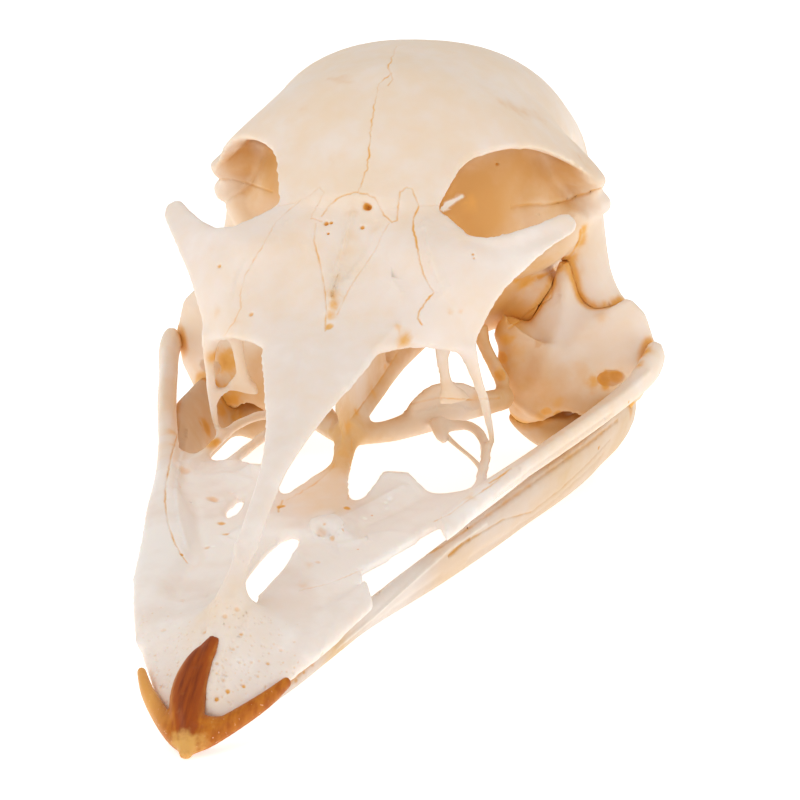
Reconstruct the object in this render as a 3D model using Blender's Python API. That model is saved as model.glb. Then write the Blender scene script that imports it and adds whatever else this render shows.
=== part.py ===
"""An emu skull resting on its own lower jaw, at real size.

Metres, +Z up. The beak points along -Y, the skull's left side is +X, and Z = 0 is the table.
The skull is 160 mm long. All places below are in millimetres and turned to metres at the end.
"""
import math

import bmesh
import bpy
from mathutils import Matrix, Vector

MM = 0.001

# Driving dimensions, in millimetres
DOME_TOP = 64.6          # height of the forehead over the back of the jaw
REST_TILT = 2.7          # degrees that the drawn skull dips at the beak to lie on its jaw
REST_Y = 44.0            # the line about which it dips
REST_DROP = 1.2          # how far it is let down after that, so that the jaw gets flat feet
CENTRE_SHIFT = 0.85      # brings the middle of its length over the origin
BONE_GAP = 0.55          # clearance between bones that move on each other
VOXEL = 0.62             # grain at which the bars and plates of one bone grow together
CUT_VOXEL = 0.5          # the same after a bone is swollen or cut
BAR_SIDES = 8            # sides of a bone bar before it is fused
SHELL = 1.3              # thickness of the nasal and tear bones
PALATE = 1.4             # thickness of the palate shelves

# Share of the fused faces that each bone keeps
KEEP_SKULL = 0.024
KEEP_JAW = 0.03
KEEP_QUADRATE = 0.05
KEEP_SHEATH = 0.07
KEEP_CLEARANCE = 0.1

# Forehead over the eye sockets: y, ridge height, rim half-width, rim height, boxiness
ROOF = [
    (9.0, 51.4, 11.6, 49.0, 2.2),
    (14.0, 55.4, 13.4, 52.8, 2.2),
    (18.0, 58.4, 14.9, 54.6, 2.2),
    (22.0, 60.8, 18.8, 55.2, 2.2),
    (26.0, 62.7, 23.4, 53.6, 2.2),
    (30.0, 64.0, 27.0, 50.0, 2.2),
    (34.5, DOME_TOP - 0.5, 29.0, 46.0, 2.4),
    (39.0, DOME_TOP - 0.8, 25.8, 47.4, 2.95),
    (44.0, DOME_TOP - 1.6, 21.4, 50.0, 3.2),
]
ROOF_DEPTH = 2.4         # thickness of the forehead bone

# Braincase: y, half-width, top, height of its widest line, bottom
BRAINCASE = [
    (25.5, 8.0, 56.0, 42.0, 27.0),
    (30.0, 17.5, 61.0, 43.0, 23.0),
    (36.0, 22.0, DOME_TOP - 0.9, 44.5, 20.0),
    (42.0, 23.4, DOME_TOP - 0.7, 44.5, 18.0),
    (49.0, 23.1, 62.4, 42.0, 17.6),
    (56.0, 22.0, 58.6, 40.0, 17.8),
    (63.0, 21.0, 53.2, 37.5, 18.4),
    (69.5, 18.2, 46.4, 34.5, 19.6),
    (74.0, 14.0, 39.6, 31.5, 21.4),
    (76.6, 9.0, 35.0, 29.0, 23.6),
]
BRAINCASE_CURVE = 2.36

# Bars are rows of x, y, z, half-width across, half-height
ROSTRUM = [(0, -2, 20.8, 1.7, 1.5), (0, 10, 21.0, 1.8, 1.6), (0, 22, 21.6, 2.2, 2.0),
           (0, 34, 22.5, 4.0, 3.2)]
SEPTUM_FRONT = [(0, 10, 46.0, 3.4, 3.0), (0, 0, 40.5, 2.4, 3.0), (0, -8, 36.8, 1.6, 1.8)]
POSTORBITAL = [(22, 38, 48.6, 3.6, 3.6), (26.5, 36, 47.0, 2.4, 2.2), (29.6, 34.7, 45.7, 1.3, 1.1)]
POSTORBITAL_LOWER = [(22, 40, 43.5, 4.0, 4.0), (27, 37.5, 42.4, 2.6, 2.2),
                     (29.8, 36, 41.8, 1.4, 1.3)]
NOTCH_FILL = [(22, 39, 46, 3.0, 3.0), (27.2, 36.4, 44.2, 1.9, 1.9), (28.8, 35.6, 43.9, 1.1, 1.1)]
ORBIT_LOBE = [(26.0, 35.0, 41.8, 2.4, 2.6), (23.2, 33.8, 38.0, 2.7, 2.7),
              (20.0, 32.4, 35.6, 2.7, 2.6), (16.2, 31.4, 34.4, 2.7, 2.6)]
ORBIT_WALL = [(15, 36, 46, 6.0, 7.0), (20, 35.5, 41.5, 4.8, 5.0), (24.5, 35.5, 40, 3.0, 2.8)]
CHEEK = [(24.6, 39.5, 44, 3.2, 4.0), (25.2, 38.5, 40, 3.4, 3.4), (25.6, 37.4, 35.5, 3.7, 2.8),
         (26.8, 36.4, 31.0, 3.4, 2.4), (29.0, 35.8, 27.4, 2.8, 2.3), (31.6, 35.6, 25.3, 2.1, 2.0),
         (33.9, 35.6, 24.0, 1.3, 1.6)]
EAR_WALL = [(9, 41, 28.5, 6, 7), (14, 38.2, 27.2, 4.8, 6), (18.2, 36.4, 27.4, 3.2, 5),
            (22, 36, 30.5, 2.0, 2.8)]
PAROCCIPITAL = [(15, 54, 33, 7, 5), (19.4, 52.5, 26, 4.6, 2.6), (21.6, 51.5, 20.4, 2.8, 1.4),
                (22.4, 51, 17.4, 1.4, 1.0)]
NAPE_CREST = [(0, 71, 44.6, 2.2, 1.6), (9, 69.6, 42.4, 2.2, 1.6), (15.6, 65.5, 38, 2.4, 1.8),
              (19.4, 60, 32, 2.2, 1.8), (20.0, 55, 27, 2.0, 1.6)]
CONDYLE = [(0, 74, 27.5, 4.0, 3.0), (0, 77.6, 26.8, 2.9, 2.6), (0, 79.4, 26.4, 1.6, 1.4)]
PTERYGOID = [(0.5, -1.4, 19.6, 1.9, 1.4), (4.2, 5.2, 17.9, 2.0, 1.6), (8.0, 10.2, 17.8, 2.4, 1.9),
             (12.4, 15.0, 17.9, 2.1, 1.9), (15.2, 21.0, 16.7, 1.7, 1.8),
             (16.2, 25.6, 15.6, 1.6, 1.8)]
PTERYGOID_LINK = [(11.7, 28.6, 25.6, 1.5, 1.5), (12.6, 27.8, 22.8, 1.1, 1.1),
                  (14.0, 27.0, 20.4, 1.1, 1.1), (15.9, 26.0, 17.4, 1.3, 1.3)]
PTERYGOID_CREST = [(6.5, 8.5, 19.4, 1.0, 1.4), (9, 11, 20.8, 0.9, 2.2), (12, 13.5, 21.0, 0.8, 1.8),
                   (15, 16, 19.6, 0.7, 0.9)]
PALATINE_KNOB = [(10.4, 8, 19.0, 1.4, 1.2), (11.6, 5.8, 17.6, 1.2, 1.0), (12.5, 4.6, 16.8, 0.8, 0.7)]
PALATINE_HOOK = [(11.6, 8, 17.9, 1.0, 0.9), (15.2, 7.6, 18.3, 1.0, 0.8),
                 (18.0, 4.2, 18.1, 0.9, 0.8),
                 (19.7, -0.6, 17.3, 0.9, 0.8), (20.5, -6, 17.0, 0.9, 0.8), (21.6, -11, 17.1, 1.1, 0.8)]
SHELF_SPUR = [(15.6, -8.4, 16.8, 1.2, 0.8), (15.5, -5.6, 16.9, 0.95, 0.85),
              (15.0, -2.4, 16.9, 0.9, 0.85), (14.1, 1.0, 17.1, 0.9, 0.85),
              (12.6, 4.8, 17.6, 1.0, 0.9), (10.4, 8.4, 17.9, 1.0, 0.9)]
VOMER = [(0, 0.6, 20.2, 1.9, 1.2), (-0.1, -2.6, 18.6, 1.8, 1.1), (0.5, -7.4, 17.4, 1.7, 1.0),
         (0, -12.4, 16.9, 3.4, 0.9), (-0.1, -17, 16.6, 5.2, 0.8),
         (0, -24, 16.4, 7.2, 0.8), (0, -30, 16.5, 9.0, 0.7)]
SEPTUM = [(0, 4.6, 41.6, 3.6, 0.9), (0, 1.6, 38, 9, 0.8), (0, 1.5, 31, 9, 0.75),
          (0, 4, 25.5, 10, 0.75),
          (0, 7, 21.6, 9, 0.9)]
NASAL_BAR = [(0, -6, 38.2, 9.0, 1.3), (0, -12.7, 36.2, 8.6, 1.1), (0, -17.8, 34.6, 7.0, 1.1),
             (0, -22.6, 33.0, 5.4, 1.1), (0, -27, 31.4, 3.9, 1.2), (0, -32, 29.9, 2.7, 1.3),
             (0, -38, 27.9, 1.8, 1.3), (0, -48, 24.0, 1.6, 1.3), (0, -54, 21.6, 2.0, 1.4),
             (0, -60, 18.4, 2.8, 1.6)]
FACE_MIDDLE = [(0, 5, 46.9, 2.0, 0.9), (0, -2, 41.8, 2.0, 0.9), (0, -8, 38.1, 2.0, 0.9),
               (0, -13, 36.2, 2.0, 0.8)]
TEAR_BONE_ROD = [(18.4, -3.6, 35.2, 1.7, 1.2), (19.2, -2.8, 31, 1.0, 0.9), (19.9, -1, 26, 0.8, 0.9),
                 (20.2, 0.3, 21.5, 0.7, 0.8), (20.3, 1.2, 18.4, 0.6, 0.6)]
INNER_STRUT = [(15.1, -3.4, 35.6, 1.5, 0.9), (14.8, -2.8, 31.6, 1.05, 0.7), (14.9, -1.8, 28.4, 1.2, 0.7),
               (15.2, -0.6, 26.4, 2.2, 0.85), (15.5, 0.2, 25.0, 2.8, 0.85)]
INNER_BRIDGE = [(16.6, 0.2, 25.6, 0.7, 0.6), (18.6, -0.2, 24.8, 0.6, 0.6),
                (20.0, 0, 23.0, 0.6, 0.6)]

# Hollows carved out of the skull: x, y, z, then half-sizes along x, y, z
HOLLOWS = [
    (0, 77.5, 34.2, 4.6, 6.5, 4.4),       # opening for the spinal cord
    (28.6, 46.0, 45.5, 6.6, 6.5, 8.5),    # hollow for the jaw muscle, left
    (-28.6, 46.0, 45.5, 6.6, 6.5, 8.5),   # hollow for the jaw muscle, right
    (22.6, 44.5, 27.5, 5.4, 4.2, 6.0),    # ear, left
    (-22.6, 44.5, 27.5, 5.4, 4.2, 6.0),   # ear, right
    (0, 18.8, 24.6, 3.0, 1.7, 1.5),       # slit over the skull's base
    (-11.2, -20.9, 17.0, 1.3, 2.0, 3.0),  # hole in the right shelf
]
QUADRATE_HOLLOW = [(31.0, 30.2, 17.4, 2.3, 1.7, 1.3), (-31.0, 30.2, 16.1, 2.3, 1.7, 1.3)]
# Plan of the piece that has broken out of the left rim
LEFT_BREAK = [(11.9, -38.2), (15.0, -45.2), (18.0, -51.8), (25.0, -36.5), (18.4, -22.4), (15.1, -30.8)]

# Outer rim of the upper jaw, running on into the cheek bar
RIM_FRONT = [(9.6, -60, 13.6, 2.9, 1.6), (13.0, -50.9, 15.2, 2.8, 1.4), (15.2, -45, 15.9, 2.4, 1.3),
             (16.4, -41, 16.2, 2.2, 1.2)]
RIM_MIDDLE = [(14.4, -46, 15.8, 3.2, 1.3), (15.6, -39, 16.3, 3.5, 1.2), (17.2, -32, 16.6, 3.5, 1.2),
              (19.4, -25, 17.0, 3.0, 1.3), (21.1, -20, 17.1, 1.9, 1.3)]
CHEEK_BAR = [(18.8, -29.5, 16.8, 2.2, 1.2), (20.3, -25, 17.0, 2.1, 1.3),
             (21.1, -22, 17.1, 1.9, 1.4), (23.3, -13, 17.4, 1.7, 1.5),
             (26.5, -2.4, 17.3, 1.6, 1.5), (29.3, 5.8, 17.5, 1.5, 1.6),
             (32.2, 14.5, 17.8, 1.5, 1.6),
             (35.2, 24.5, 18.4, 1.5, 1.8), (36.8, 30, 19.8, 1.6, 2.5), (37.0, 33.4, 21.0, 1.5, 2.3)]

# Left half of the face: rows from the forehead down, points from the midline out to the edge
FACE = [
    [(-0.8, 11, 52.2), (6, 11, 51.6), (12, 10.6, 49.6), (18, 5.4, 47.8), (24, 9.8, 47.8),
    (28.4, 15.2, 48.4)],
    [(-0.8, 8, 49.8), (6, 7.8, 49.4), (12, 6, 48.4), (18, 4, 47.2), (24, 8, 47.0), (30.8, 14.8, 46.6)],
    [(-0.8, 4, 47.2), (5, 3.8, 47.0), (11, 1.6, 46.8), (17.6, 2.2, 46.2), (22.6, 5.0, 45.8),
    (27.8, 8.6, 45.2)],
    [(-0.8, -2, 42.8), (5, -1.6, 43.0), (12, -2.0, 43.2), (17, -1.4, 42.8), (20.4, 0.2, 42.2),
    (23.3, 1.6, 41.6)],
    [(-0.8, -8, 39.0), (5, -7.6, 39.2), (12.6, -6.8, 39.6), (16.6, -4.6, 38.4), (19.0, -2.8, 38.0),
    (21.0, -1.5, 37.6)],
    [(-0.8, -14, 36.8), (5, -13.6, 36.9), (11.6, -10.4, 37.0), (16, -7.0, 35.4), (18.2, -5.0, 34.2),
    (19.6, -3.4, 33.8)],
]
# Left palate shelf: rows from the front back, points from the midline out to the rim
SHELF = [
    [(0.8, -58, 17.6), (6, -57, 15.6), (12, -56, 14.8)],
    [(2.0, -46, 17.4), (6.6, -46, 15.9), (12.8, -44.6, 15.6)],
    [(2.1, -38, 17.2), (7.8, -38, 15.9), (13.4, -38.6, 16.1)],
    [(1.4, -31, 16.8), (8.6, -30, 15.9), (16.6, -30, 16.4)],
    [(1.2, -25, 16.4), (9.5, -22, 16.0), (19.2, -22, 16.8)],
    [(5.4, -17, 16.6), (10, -15, 17.6), (14.5, -14.6, 16.6), (21.8, -13, 17.2)],
    [(8.0, -12, 19.4), (11.6, -11.6, 19.2), (15.5, -12.4, 16.6), (22.8, -9.6, 17.2)],
]
# Back of the right shelf, which the left side has lost
SHELF_BACK = [
    [(5.4, -17, 16.8), (10, -15, 17.4), (14.5, -14.6, 16.8), (21.8, -13, 17.2)],
    [(7.4, -12, 18.0), (11.6, -11.4, 17.8), (16.5, -10.6, 17.0), (23.2, -9, 17.2)],
    [(10.4, -7.6, 17.0), (14.0, -6.8, 17.0), (18.0, -5.8, 17.0), (24.8, -3.4, 17.3)],
]
# Front of the bill: y, half-width, ridge height, edge height, underside
BILL = [
    (-55.0, 14.4, 19.8, 15.0, 13.0),
    (-60.0, 12.2, 19.0, 14.0, 12.0),
    (-65.0, 9.6, 16.8, 12.8, 10.8),
    (-70.0, 6.6, 14.2, 11.4, 9.4),
    (-73.5, 3.4, 12.0, 10.4, 9.0),
]
BILL_RIDGE = 2.6         # half-width of the ridge along the top of the bill

# Horn left on the tip of the bill
SHEATH_EDGE = [(9.9, -65.8, 12.5, 0.6, 0.8), (7.9, -69.6, 11.4, 0.9, 1.2),
               (4.7, -73.8, 10.1, 1.2, 1.4),
               (1.9, -76.8, 9.1, 1.3, 1.5), (0.3, -78.3, 8.3, 0.8, 1.0)]
SHEATH_NAIL = [(-0.2, -64.4, 17.0, 0.6, 0.6), (-1.2, -67.6, 15.4, 1.8, 1.2),
               (-1.6, -71, 13.4, 2.3, 1.6),
               (-1.0, -74.6, 11.2, 2.3, 1.9), (-0.2, -77.2, 9.0, 1.6, 1.7),
               (0, -79.5, 7.6, 0.7, 0.7)]

# Left quadrate: x, y, z, half-width across, half-depth
QUADRATE = [(23.2, 35.6, 33.6, 1.1, 1.4), (23.3, 35.0, 30.2, 1.9, 1.8),
            (23.1, 34.4, 27.4, 3.4, 2.2),
            (23.4, 33.8, 25.4, 5.8, 2.4), (24.2, 33.2, 23.6, 9.0, 2.6),
            (25.4, 32.6, 21.6, 11.8, 2.8),
            (24.2, 32.0, 19.4, 12.2, 3.0), (23.2, 31.6, 17.4, 11.4, 3.2),
            (22.0, 31.2, 16.0, 9.6, 3.2), (21.6, 31.0, 14.4, 8.2, 3.2),
            (20.9, 30.6, 12.6, 6.2, 3.0), (21.2, 30.6, 11.4, 4.0, 2.4)]
RIGHT_SAG = 1.3          # how much lower the right cheek's hind end and quadrate lie than the left
QUADRATE_SKEW = 0.14     # how far the quadrate's outer side stands back for each step outwards
QUADRATE_FINGER = [(18.0, 32, 20.4, 3.4, 3.4), (15.8, 32.0, 22.8, 2.9, 2.8),
                   (13.9, 32.4, 24.2, 1.8, 1.9)]

# Left half of the lower jaw
JAW = [(0, -74.6, 7.5, 1.6, 1.1), (2.4, -72.6, 8.3, 1.6, 1.0), (4.8, -69.2, 9.1, 1.5, 0.9),
       (7.4, -64, 10.0, 1.3, 1.1), (9.2, -60, 10.5, 1.2, 1.3), (11.0, -52, 10.8, 1.3, 2.0),
       (13.4, -40, 10.5, 1.4, 2.6), (18.2, -22, 9.9, 1.7, 3.7), (22.6, -8, 10.1, 1.8, 4.3),
       (25.2, 0, 10.5, 1.9, 4.5), (28.2, 10, 10.6, 1.9, 4.9), (29.8, 17, 10.6, 1.9, 5.1),
       (30.2, 24, 10.0, 1.9, 5.2), (30.2, 32, 9.2, 2.4, 5.2), (29.0, 39, 7.4, 2.7, 5.2),
       (28.0, 45, 4.9, 2.3, 4.6), (27.4, 50, 4.2, 1.3, 2.8)]
JAW_LEAN = 0.42          # how far the jaw's flanks lean outwards for each step up
JAW_PROCESS = [(28.6, 35, 7, 3.0, 3.0), (24, 33, 7.4, 3.4, 3.6), (20, 31.6, 8.8, 3.0, 3.0),
               (17, 30.8, 10.2, 2.0, 1.8), (15.4, 30.6, 11.2, 1.0, 0.9)]
JAW_SHELF = [(0, -74.4, 7.8, 2.4, 0.7), (0, -70, 8.6, 4.4, 0.6), (0, -65, 9.4, 6.4, 0.6),
             (0, -61, 9.9, 7.4, 0.5)]


def clear_scene():
    for thing in list(bpy.data.objects):
        bpy.data.objects.remove(thing, do_unlink=True)


def smooth_rows(rows, steps):
    """Rows of numbers joined by a Catmull-Rom curve, with so many steps between two rows."""
    out = []
    last = len(rows) - 1
    for i in range(last):
        before = rows[max(i - 1, 0)]
        after = rows[min(i + 2, last)]
        for step in range(steps):
            t = step / steps
            row = []
            for a, b, c, d in zip(before, rows[i], rows[i + 1], after):
                pull = 2 * a - 5 * b + 4 * c - d
                row.append(0.5 * (2 * b + (c - a) * t + pull * t * t + (3 * b - a - 3 * c + d) * t ** 3))
            out.append(row)
    out.append(list(rows[-1]))
    return out


def close_loops(mesh, rings):
    """Joins neighbouring rings of edges with faces and caps both ends."""
    for first, second in zip(rings, rings[1:]):
        bmesh.ops.bridge_loops(mesh, edges=first + second)
    bmesh.ops.holes_fill(mesh, edges=rings[0] + rings[-1], sides=0)


def add_bar(mesh, rows, mirror=1, steps=3, flat=Vector((0, 0, 1))):
    """A tapering bone bar with an oval section, its height measured along the flat direction."""
    stations = smooth_rows(rows, steps)
    flat = Vector((flat.x * mirror, flat.y, flat.z))
    rings = []
    for i, (x, y, z, wide, high) in enumerate(stations):
        ahead = stations[min(i + 1, len(stations) - 1)]
        behind = stations[max(i - 1, 0)]
        along = Vector((ahead[0] - behind[0], ahead[1] - behind[1], ahead[2] - behind[2]))
        along.x *= mirror
        along.normalize()
        across = along.cross(flat).normalized()
        lift = across.cross(along)
        place = Matrix((across * wide, lift * high, along)).transposed().to_4x4()
        place.translation = Vector((x * mirror, y, z))
        made = bmesh.ops.create_circle(mesh, segments=BAR_SIDES, radius=1, matrix=place)
        rings.append(list({edge for vert in made["verts"] for edge in vert.link_edges}))
    close_loops(mesh, rings)


def sagging(rows):
    """The same rows for the skull's right side, which hangs lower towards the back."""
    sagged = []
    for x, y, z, wide, high in rows:
        share = min(1, max(0, (y + 22) / 52))
        sagged.append((x, y, z - RIGHT_SAG * share, wide, high))
    return sagged


def add_both(mesh, rows, **more):
    add_bar(mesh, rows, 1, **more)
    add_bar(mesh, rows, -1, **more)


def add_rings(mesh, outlines):
    """A closed body through a row of outlines, each a loop of points."""
    rings = []
    for outline in outlines:
        verts = [mesh.verts.new(point) for point in outline]
        rings.append([mesh.edges.new((a, b)) for a, b in zip(verts, verts[1:] + verts[:1])])
    close_loops(mesh, rings)


def mirrored_loop(half):
    """A closed loop from the half on +X, which starts and ends on the midline."""
    return half + [(-x, y, z) for x, y, z in reversed(half[1:-1])]


def roof_outline(y, ridge, rim, rim_height, curve):
    """Section of the forehead: an arch with the thin wall between the eye sockets under it."""
    half = []
    for step in range(9):
        x = rim * step / 8
        half.append((x, y, ridge - (ridge - rim_height) * (x / rim) ** curve))
    for step in range(7, 0, -1):
        x = (rim - 0.7) * step / 8 + 0.4
        half.append((x, y, ridge - ROOF_DEPTH - (ridge - rim_height) * (x / rim) ** curve))
    half += [(1.3, y, ridge - 7), (0.8, y, (ridge + 22) / 2), (0.9, y, 22)]
    half.insert(0, half.pop(0))
    return mirrored_loop(half + [(0, y, 21)])


def oval_outline(y, wide, top, waist, bottom, steps=8):
    """Section of the braincase: two quarter ovals above and below its widest line."""
    half = []
    for step in range(2 * steps + 1):
        angle = math.pi * step / (2 * steps)
        reach = abs(math.sin(angle)) ** (2 / BRAINCASE_CURVE)
        rise = abs(math.cos(angle)) ** (2 / BRAINCASE_CURVE)
        height = waist + (top - waist) * rise if angle < math.pi / 2 else waist - (waist - bottom) * rise
        half.append((wide * reach if 0 < step < 2 * steps else 0, y, height))
    return mirrored_loop(half)


def bill_outline(y, wide, ridge, edge, bottom):
    """Section of the bill: a rounded ridge, hollow flanks and a flat underside."""
    ridge_side = min(BILL_RIDGE, wide * 0.4)
    flank = (ridge_side + wide) / 2
    half = [(0, y, ridge), (ridge_side * 0.6, y, ridge - 0.3), (ridge_side, y, ridge - 1.0)]
    half += [(flank, y, edge + (ridge - edge) * 0.2), (wide - 0.8, y, edge + 0.1),
    (wide, y, edge - 0.8)]
    half += [(wide - 0.6, y, edge - 1.8), (flank, y, bottom + 0.6), (0, y, bottom + 1.0)]
    return mirrored_loop(half)


def add_plate(mesh, rows, thick, mirror=1, steps=3):
    """A curved plate through rows of points, thickened downwards."""
    width = 4 * steps
    smooth = []
    for row in rows:
        span = smooth_rows(row, steps)
        picked = []
        for i in range(width + 1):
            start, share = divmod(i * (len(span) - 1) / width, 1)
            after = span[min(int(start) + 1, len(span) - 1)]
            picked += [a + (b - a) * share for a, b in zip(span[int(start)], after)]
        smooth.append(picked)
    table = smooth_rows(smooth, steps)
    made = bmesh.ops.create_grid(mesh, x_segments=width, y_segments=len(table) - 1, size=1)["verts"]
    for i, vert in enumerate(made):
        row, column = divmod(i, width + 1)
        x, y, z = table[row][3 * column:3 * column + 3]
        vert.co = (x * mirror, y, z)
    faces = list({face for vert in made for face in vert.link_faces})
    bmesh.ops.recalc_face_normals(mesh, faces=faces)
    if sum(face.normal.z for face in faces) < 0:
        bmesh.ops.reverse_faces(mesh, faces=faces)
    lower = bmesh.ops.duplicate(mesh, geom=list(made) + faces)["geom"]
    lower_verts = [item for item in lower if isinstance(item, bmesh.types.BMVert)]
    lower_faces = [item for item in lower if isinstance(item, bmesh.types.BMFace)]
    for vert in made:
        vert.normal_update()
    for vert, twin in zip(made, lower_verts):
        twin.co = vert.co - vert.normal * thick
    bmesh.ops.reverse_faces(mesh, faces=lower_faces)
    borders = [edge for face in faces + lower_faces for edge in face.edges if edge.is_boundary]
    bmesh.ops.bridge_loops(mesh, edges=list(set(borders)))


def bone_material(name, colour, roughness):
    material = bpy.data.materials.new(name)
    material.use_nodes = True
    shader = material.node_tree.nodes["Principled BSDF"]
    shader.inputs["Base Color"].default_value = (*colour, 1)
    shader.inputs["Roughness"].default_value = roughness
    return material


def as_object(name, mesh, material):
    """Lays the drawn bone down on its jaw, turns millimetres to metres and gives the mesh its object."""
    dip = Matrix.Rotation(math.radians(REST_TILT), 3, "X")
    bmesh.ops.rotate(mesh, verts=mesh.verts, cent=(0, REST_Y, 0), matrix=dip)
    bmesh.ops.translate(mesh, verts=mesh.verts, vec=(0, CENTRE_SHIFT, -REST_DROP))
    bmesh.ops.scale(mesh, verts=mesh.verts, vec=(MM, MM, MM))
    return mesh_object(name, mesh, material)


def mesh_object(name, mesh, material):
    bmesh.ops.recalc_face_normals(mesh, faces=mesh.faces)
    data = bpy.data.meshes.new(name)
    mesh.to_mesh(data)
    mesh.free()
    thing = bpy.data.objects.new(name, data)
    bpy.context.scene.collection.objects.link(thing)
    data.materials.append(material)
    return thing


def fuse(thing, voxel=VOXEL, rounds=4):
    """Grows the overlapping bars and plates of a bone into one smooth skin."""
    regrow(thing, voxel)
    soften = thing.modifiers.new("soften", "SMOOTH")
    soften.factor = 0.5
    soften.iterations = rounds


def regrow(thing, voxel):
    remesh = thing.modifiers.new("grow together", "REMESH")
    remesh.mode = "VOXEL"
    remesh.voxel_size = voxel * MM
    remesh.use_smooth_shade = True


def thin_out(thing, keep):
    thin = thing.modifiers.new("fewer faces", "DECIMATE")
    thin.ratio = keep


def clearance(thing, gap=BONE_GAP):
    """A hidden copy of a bone, swollen by the gap that its neighbours keep."""
    cutter = thing.copy()
    cutter.data = thing.data.copy()
    cutter.name = thing.name + "_clearance"
    bpy.context.scene.collection.objects.link(cutter)
    cutter.modifiers.remove(cutter.modifiers["fewer faces"])
    swell = cutter.modifiers.new("gap", "DISPLACE")
    swell.mid_level = 0
    swell.strength = gap * MM
    regrow(cutter, CUT_VOXEL)
    thin_out(cutter, KEEP_CLEARANCE)
    cutter.hide_render = True
    cutter.display_type = "WIRE"
    return cutter


def cut(thing, cutter):
    away = thing.modifiers.new("clear of " + cutter.name, "BOOLEAN")
    away.operation = "DIFFERENCE"
    away.solver = "EXACT"
    away.object = cutter


def build_hollows(name, hollows, material, breaks=()):
    mesh = bmesh.new()
    for x, y, z, wide, deep, high in hollows:
        place = Matrix.Translation((x, y, z)) @ Matrix.Diagonal((wide, deep, high, 1))
        bmesh.ops.create_icosphere(mesh, subdivisions=3, radius=1, matrix=place)
    for plan in breaks:
        add_rings(mesh, [[(x, y, level) for x, y in plan] for level in (8, 26)])
    cutter = as_object(name, mesh, material)
    cutter.hide_render = True
    cutter.display_type = "WIRE"
    return cutter


def build_skull(material):
    mesh = bmesh.new()
    add_rings(mesh, [roof_outline(*row) for row in smooth_rows(ROOF, 2)])
    add_rings(mesh, [oval_outline(*row) for row in smooth_rows(BRAINCASE, 2)])
    add_rings(mesh, [bill_outline(*row) for row in smooth_rows(BILL, 2)])
    for rows in (ROSTRUM, SEPTUM_FRONT, CONDYLE, VOMER, NASAL_BAR, FACE_MIDDLE):
        add_bar(mesh, rows)
    for rows in (POSTORBITAL, POSTORBITAL_LOWER, NOTCH_FILL, ORBIT_WALL, ORBIT_LOBE, EAR_WALL,
                 PAROCCIPITAL, PTERYGOID, PTERYGOID_CREST, PALATINE_KNOB, PALATINE_HOOK, RIM_FRONT):
        add_both(mesh, rows)
    toward_beak = Vector((0, -1, 0))
    for rows in (CHEEK, NAPE_CREST, TEAR_BONE_ROD, INNER_STRUT, PTERYGOID_LINK):
        add_both(mesh, rows, flat=toward_beak)
    add_bar(mesh, RIM_MIDDLE, -1)
    add_bar(mesh, SHELF_SPUR, -1)
    add_bar(mesh, CHEEK_BAR)
    add_bar(mesh, sagging(CHEEK_BAR), -1)
    add_bar(mesh, INNER_BRIDGE, -1, flat=toward_beak)
    add_bar(mesh, SEPTUM, flat=Vector((1, 0, 0)))
    add_plate(mesh, SHELF_BACK, PALATE, -1)
    for side in (1, -1):
        add_plate(mesh, FACE, SHELL, side)
        add_plate(mesh, SHELF, PALATE, side)
    thing = as_object("skull", mesh, material)
    fuse(thing)
    return thing


def build_quadrate(name, side, material, hollow):
    mesh = bmesh.new()
    rows = QUADRATE if side > 0 else sagging(QUADRATE)
    add_bar(mesh, rows, side, flat=Vector((QUADRATE_SKEW, -1, 0)))
    add_bar(mesh, QUADRATE_FINGER, side)
    thing = as_object(name, mesh, material)
    fuse(thing, voxel=0.5)
    cut(thing, hollow)
    thin_out(thing, KEEP_QUADRATE)
    return thing


def build_lower_jaw(material):
    mesh = bmesh.new()
    add_both(mesh, JAW, flat=Vector((JAW_LEAN, 0, 1)))
    add_both(mesh, JAW_PROCESS)
    add_bar(mesh, JAW_SHELF)
    thing = as_object("lower_jaw", mesh, material)
    fuse(thing, voxel=0.6)
    return thing


def build_table(material):
    table = bmesh.new()
    bmesh.ops.create_cube(table, size=1, matrix=Matrix.Diagonal((0.2, 0.2, 0.02, 1)))
    bmesh.ops.translate(table, verts=table.verts, vec=(0, 0, -0.01))
    cutter = mesh_object("table_cut", table, material)
    cutter.hide_render = True
    cutter.display_type = "WIRE"
    return cutter


def build_sheath(material):
    mesh = bmesh.new()
    add_both(mesh, SHEATH_EDGE)
    add_bar(mesh, SHEATH_NAIL)
    thing = as_object("beak_sheath", mesh, material)
    fuse(thing, voxel=0.4)
    thin_out(thing, KEEP_SHEATH)
    return thing


def main():
    clear_scene()
    pale = bone_material("dried bone", (0.80, 0.70, 0.60), 0.5)
    amber = bone_material("joint bone", (0.78, 0.58, 0.36), 0.5)
    jaw_bone = bone_material("jaw bone", (0.78, 0.64, 0.48), 0.5)
    horn = bone_material("brown horn", (0.30, 0.09, 0.02), 0.4)
    skull = build_skull(pale)
    recess = build_hollows("quadrate_hollows", QUADRATE_HOLLOW, amber)
    left = build_quadrate("left_quadrate", 1, amber, recess)
    right = build_quadrate("right_quadrate", -1, amber, recess)
    jaw = build_lower_jaw(jaw_bone)
    sheath = build_sheath(horn)
    table = build_table(jaw_bone)
    cut(skull, build_hollows("hollows", HOLLOWS, pale, [LEFT_BREAK]))
    cut(skull, clearance(sheath))
    for bone in (left, right):
        cutter = clearance(bone)
        cut(skull, cutter)
        cut(jaw, cutter)
    for bone, keep in ((skull, KEEP_SKULL), (jaw, KEEP_JAW)):
        regrow(bone, CUT_VOXEL)
        thin_out(bone, keep)
    cut(jaw, table)
    cut(sheath, table)


main()
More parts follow.
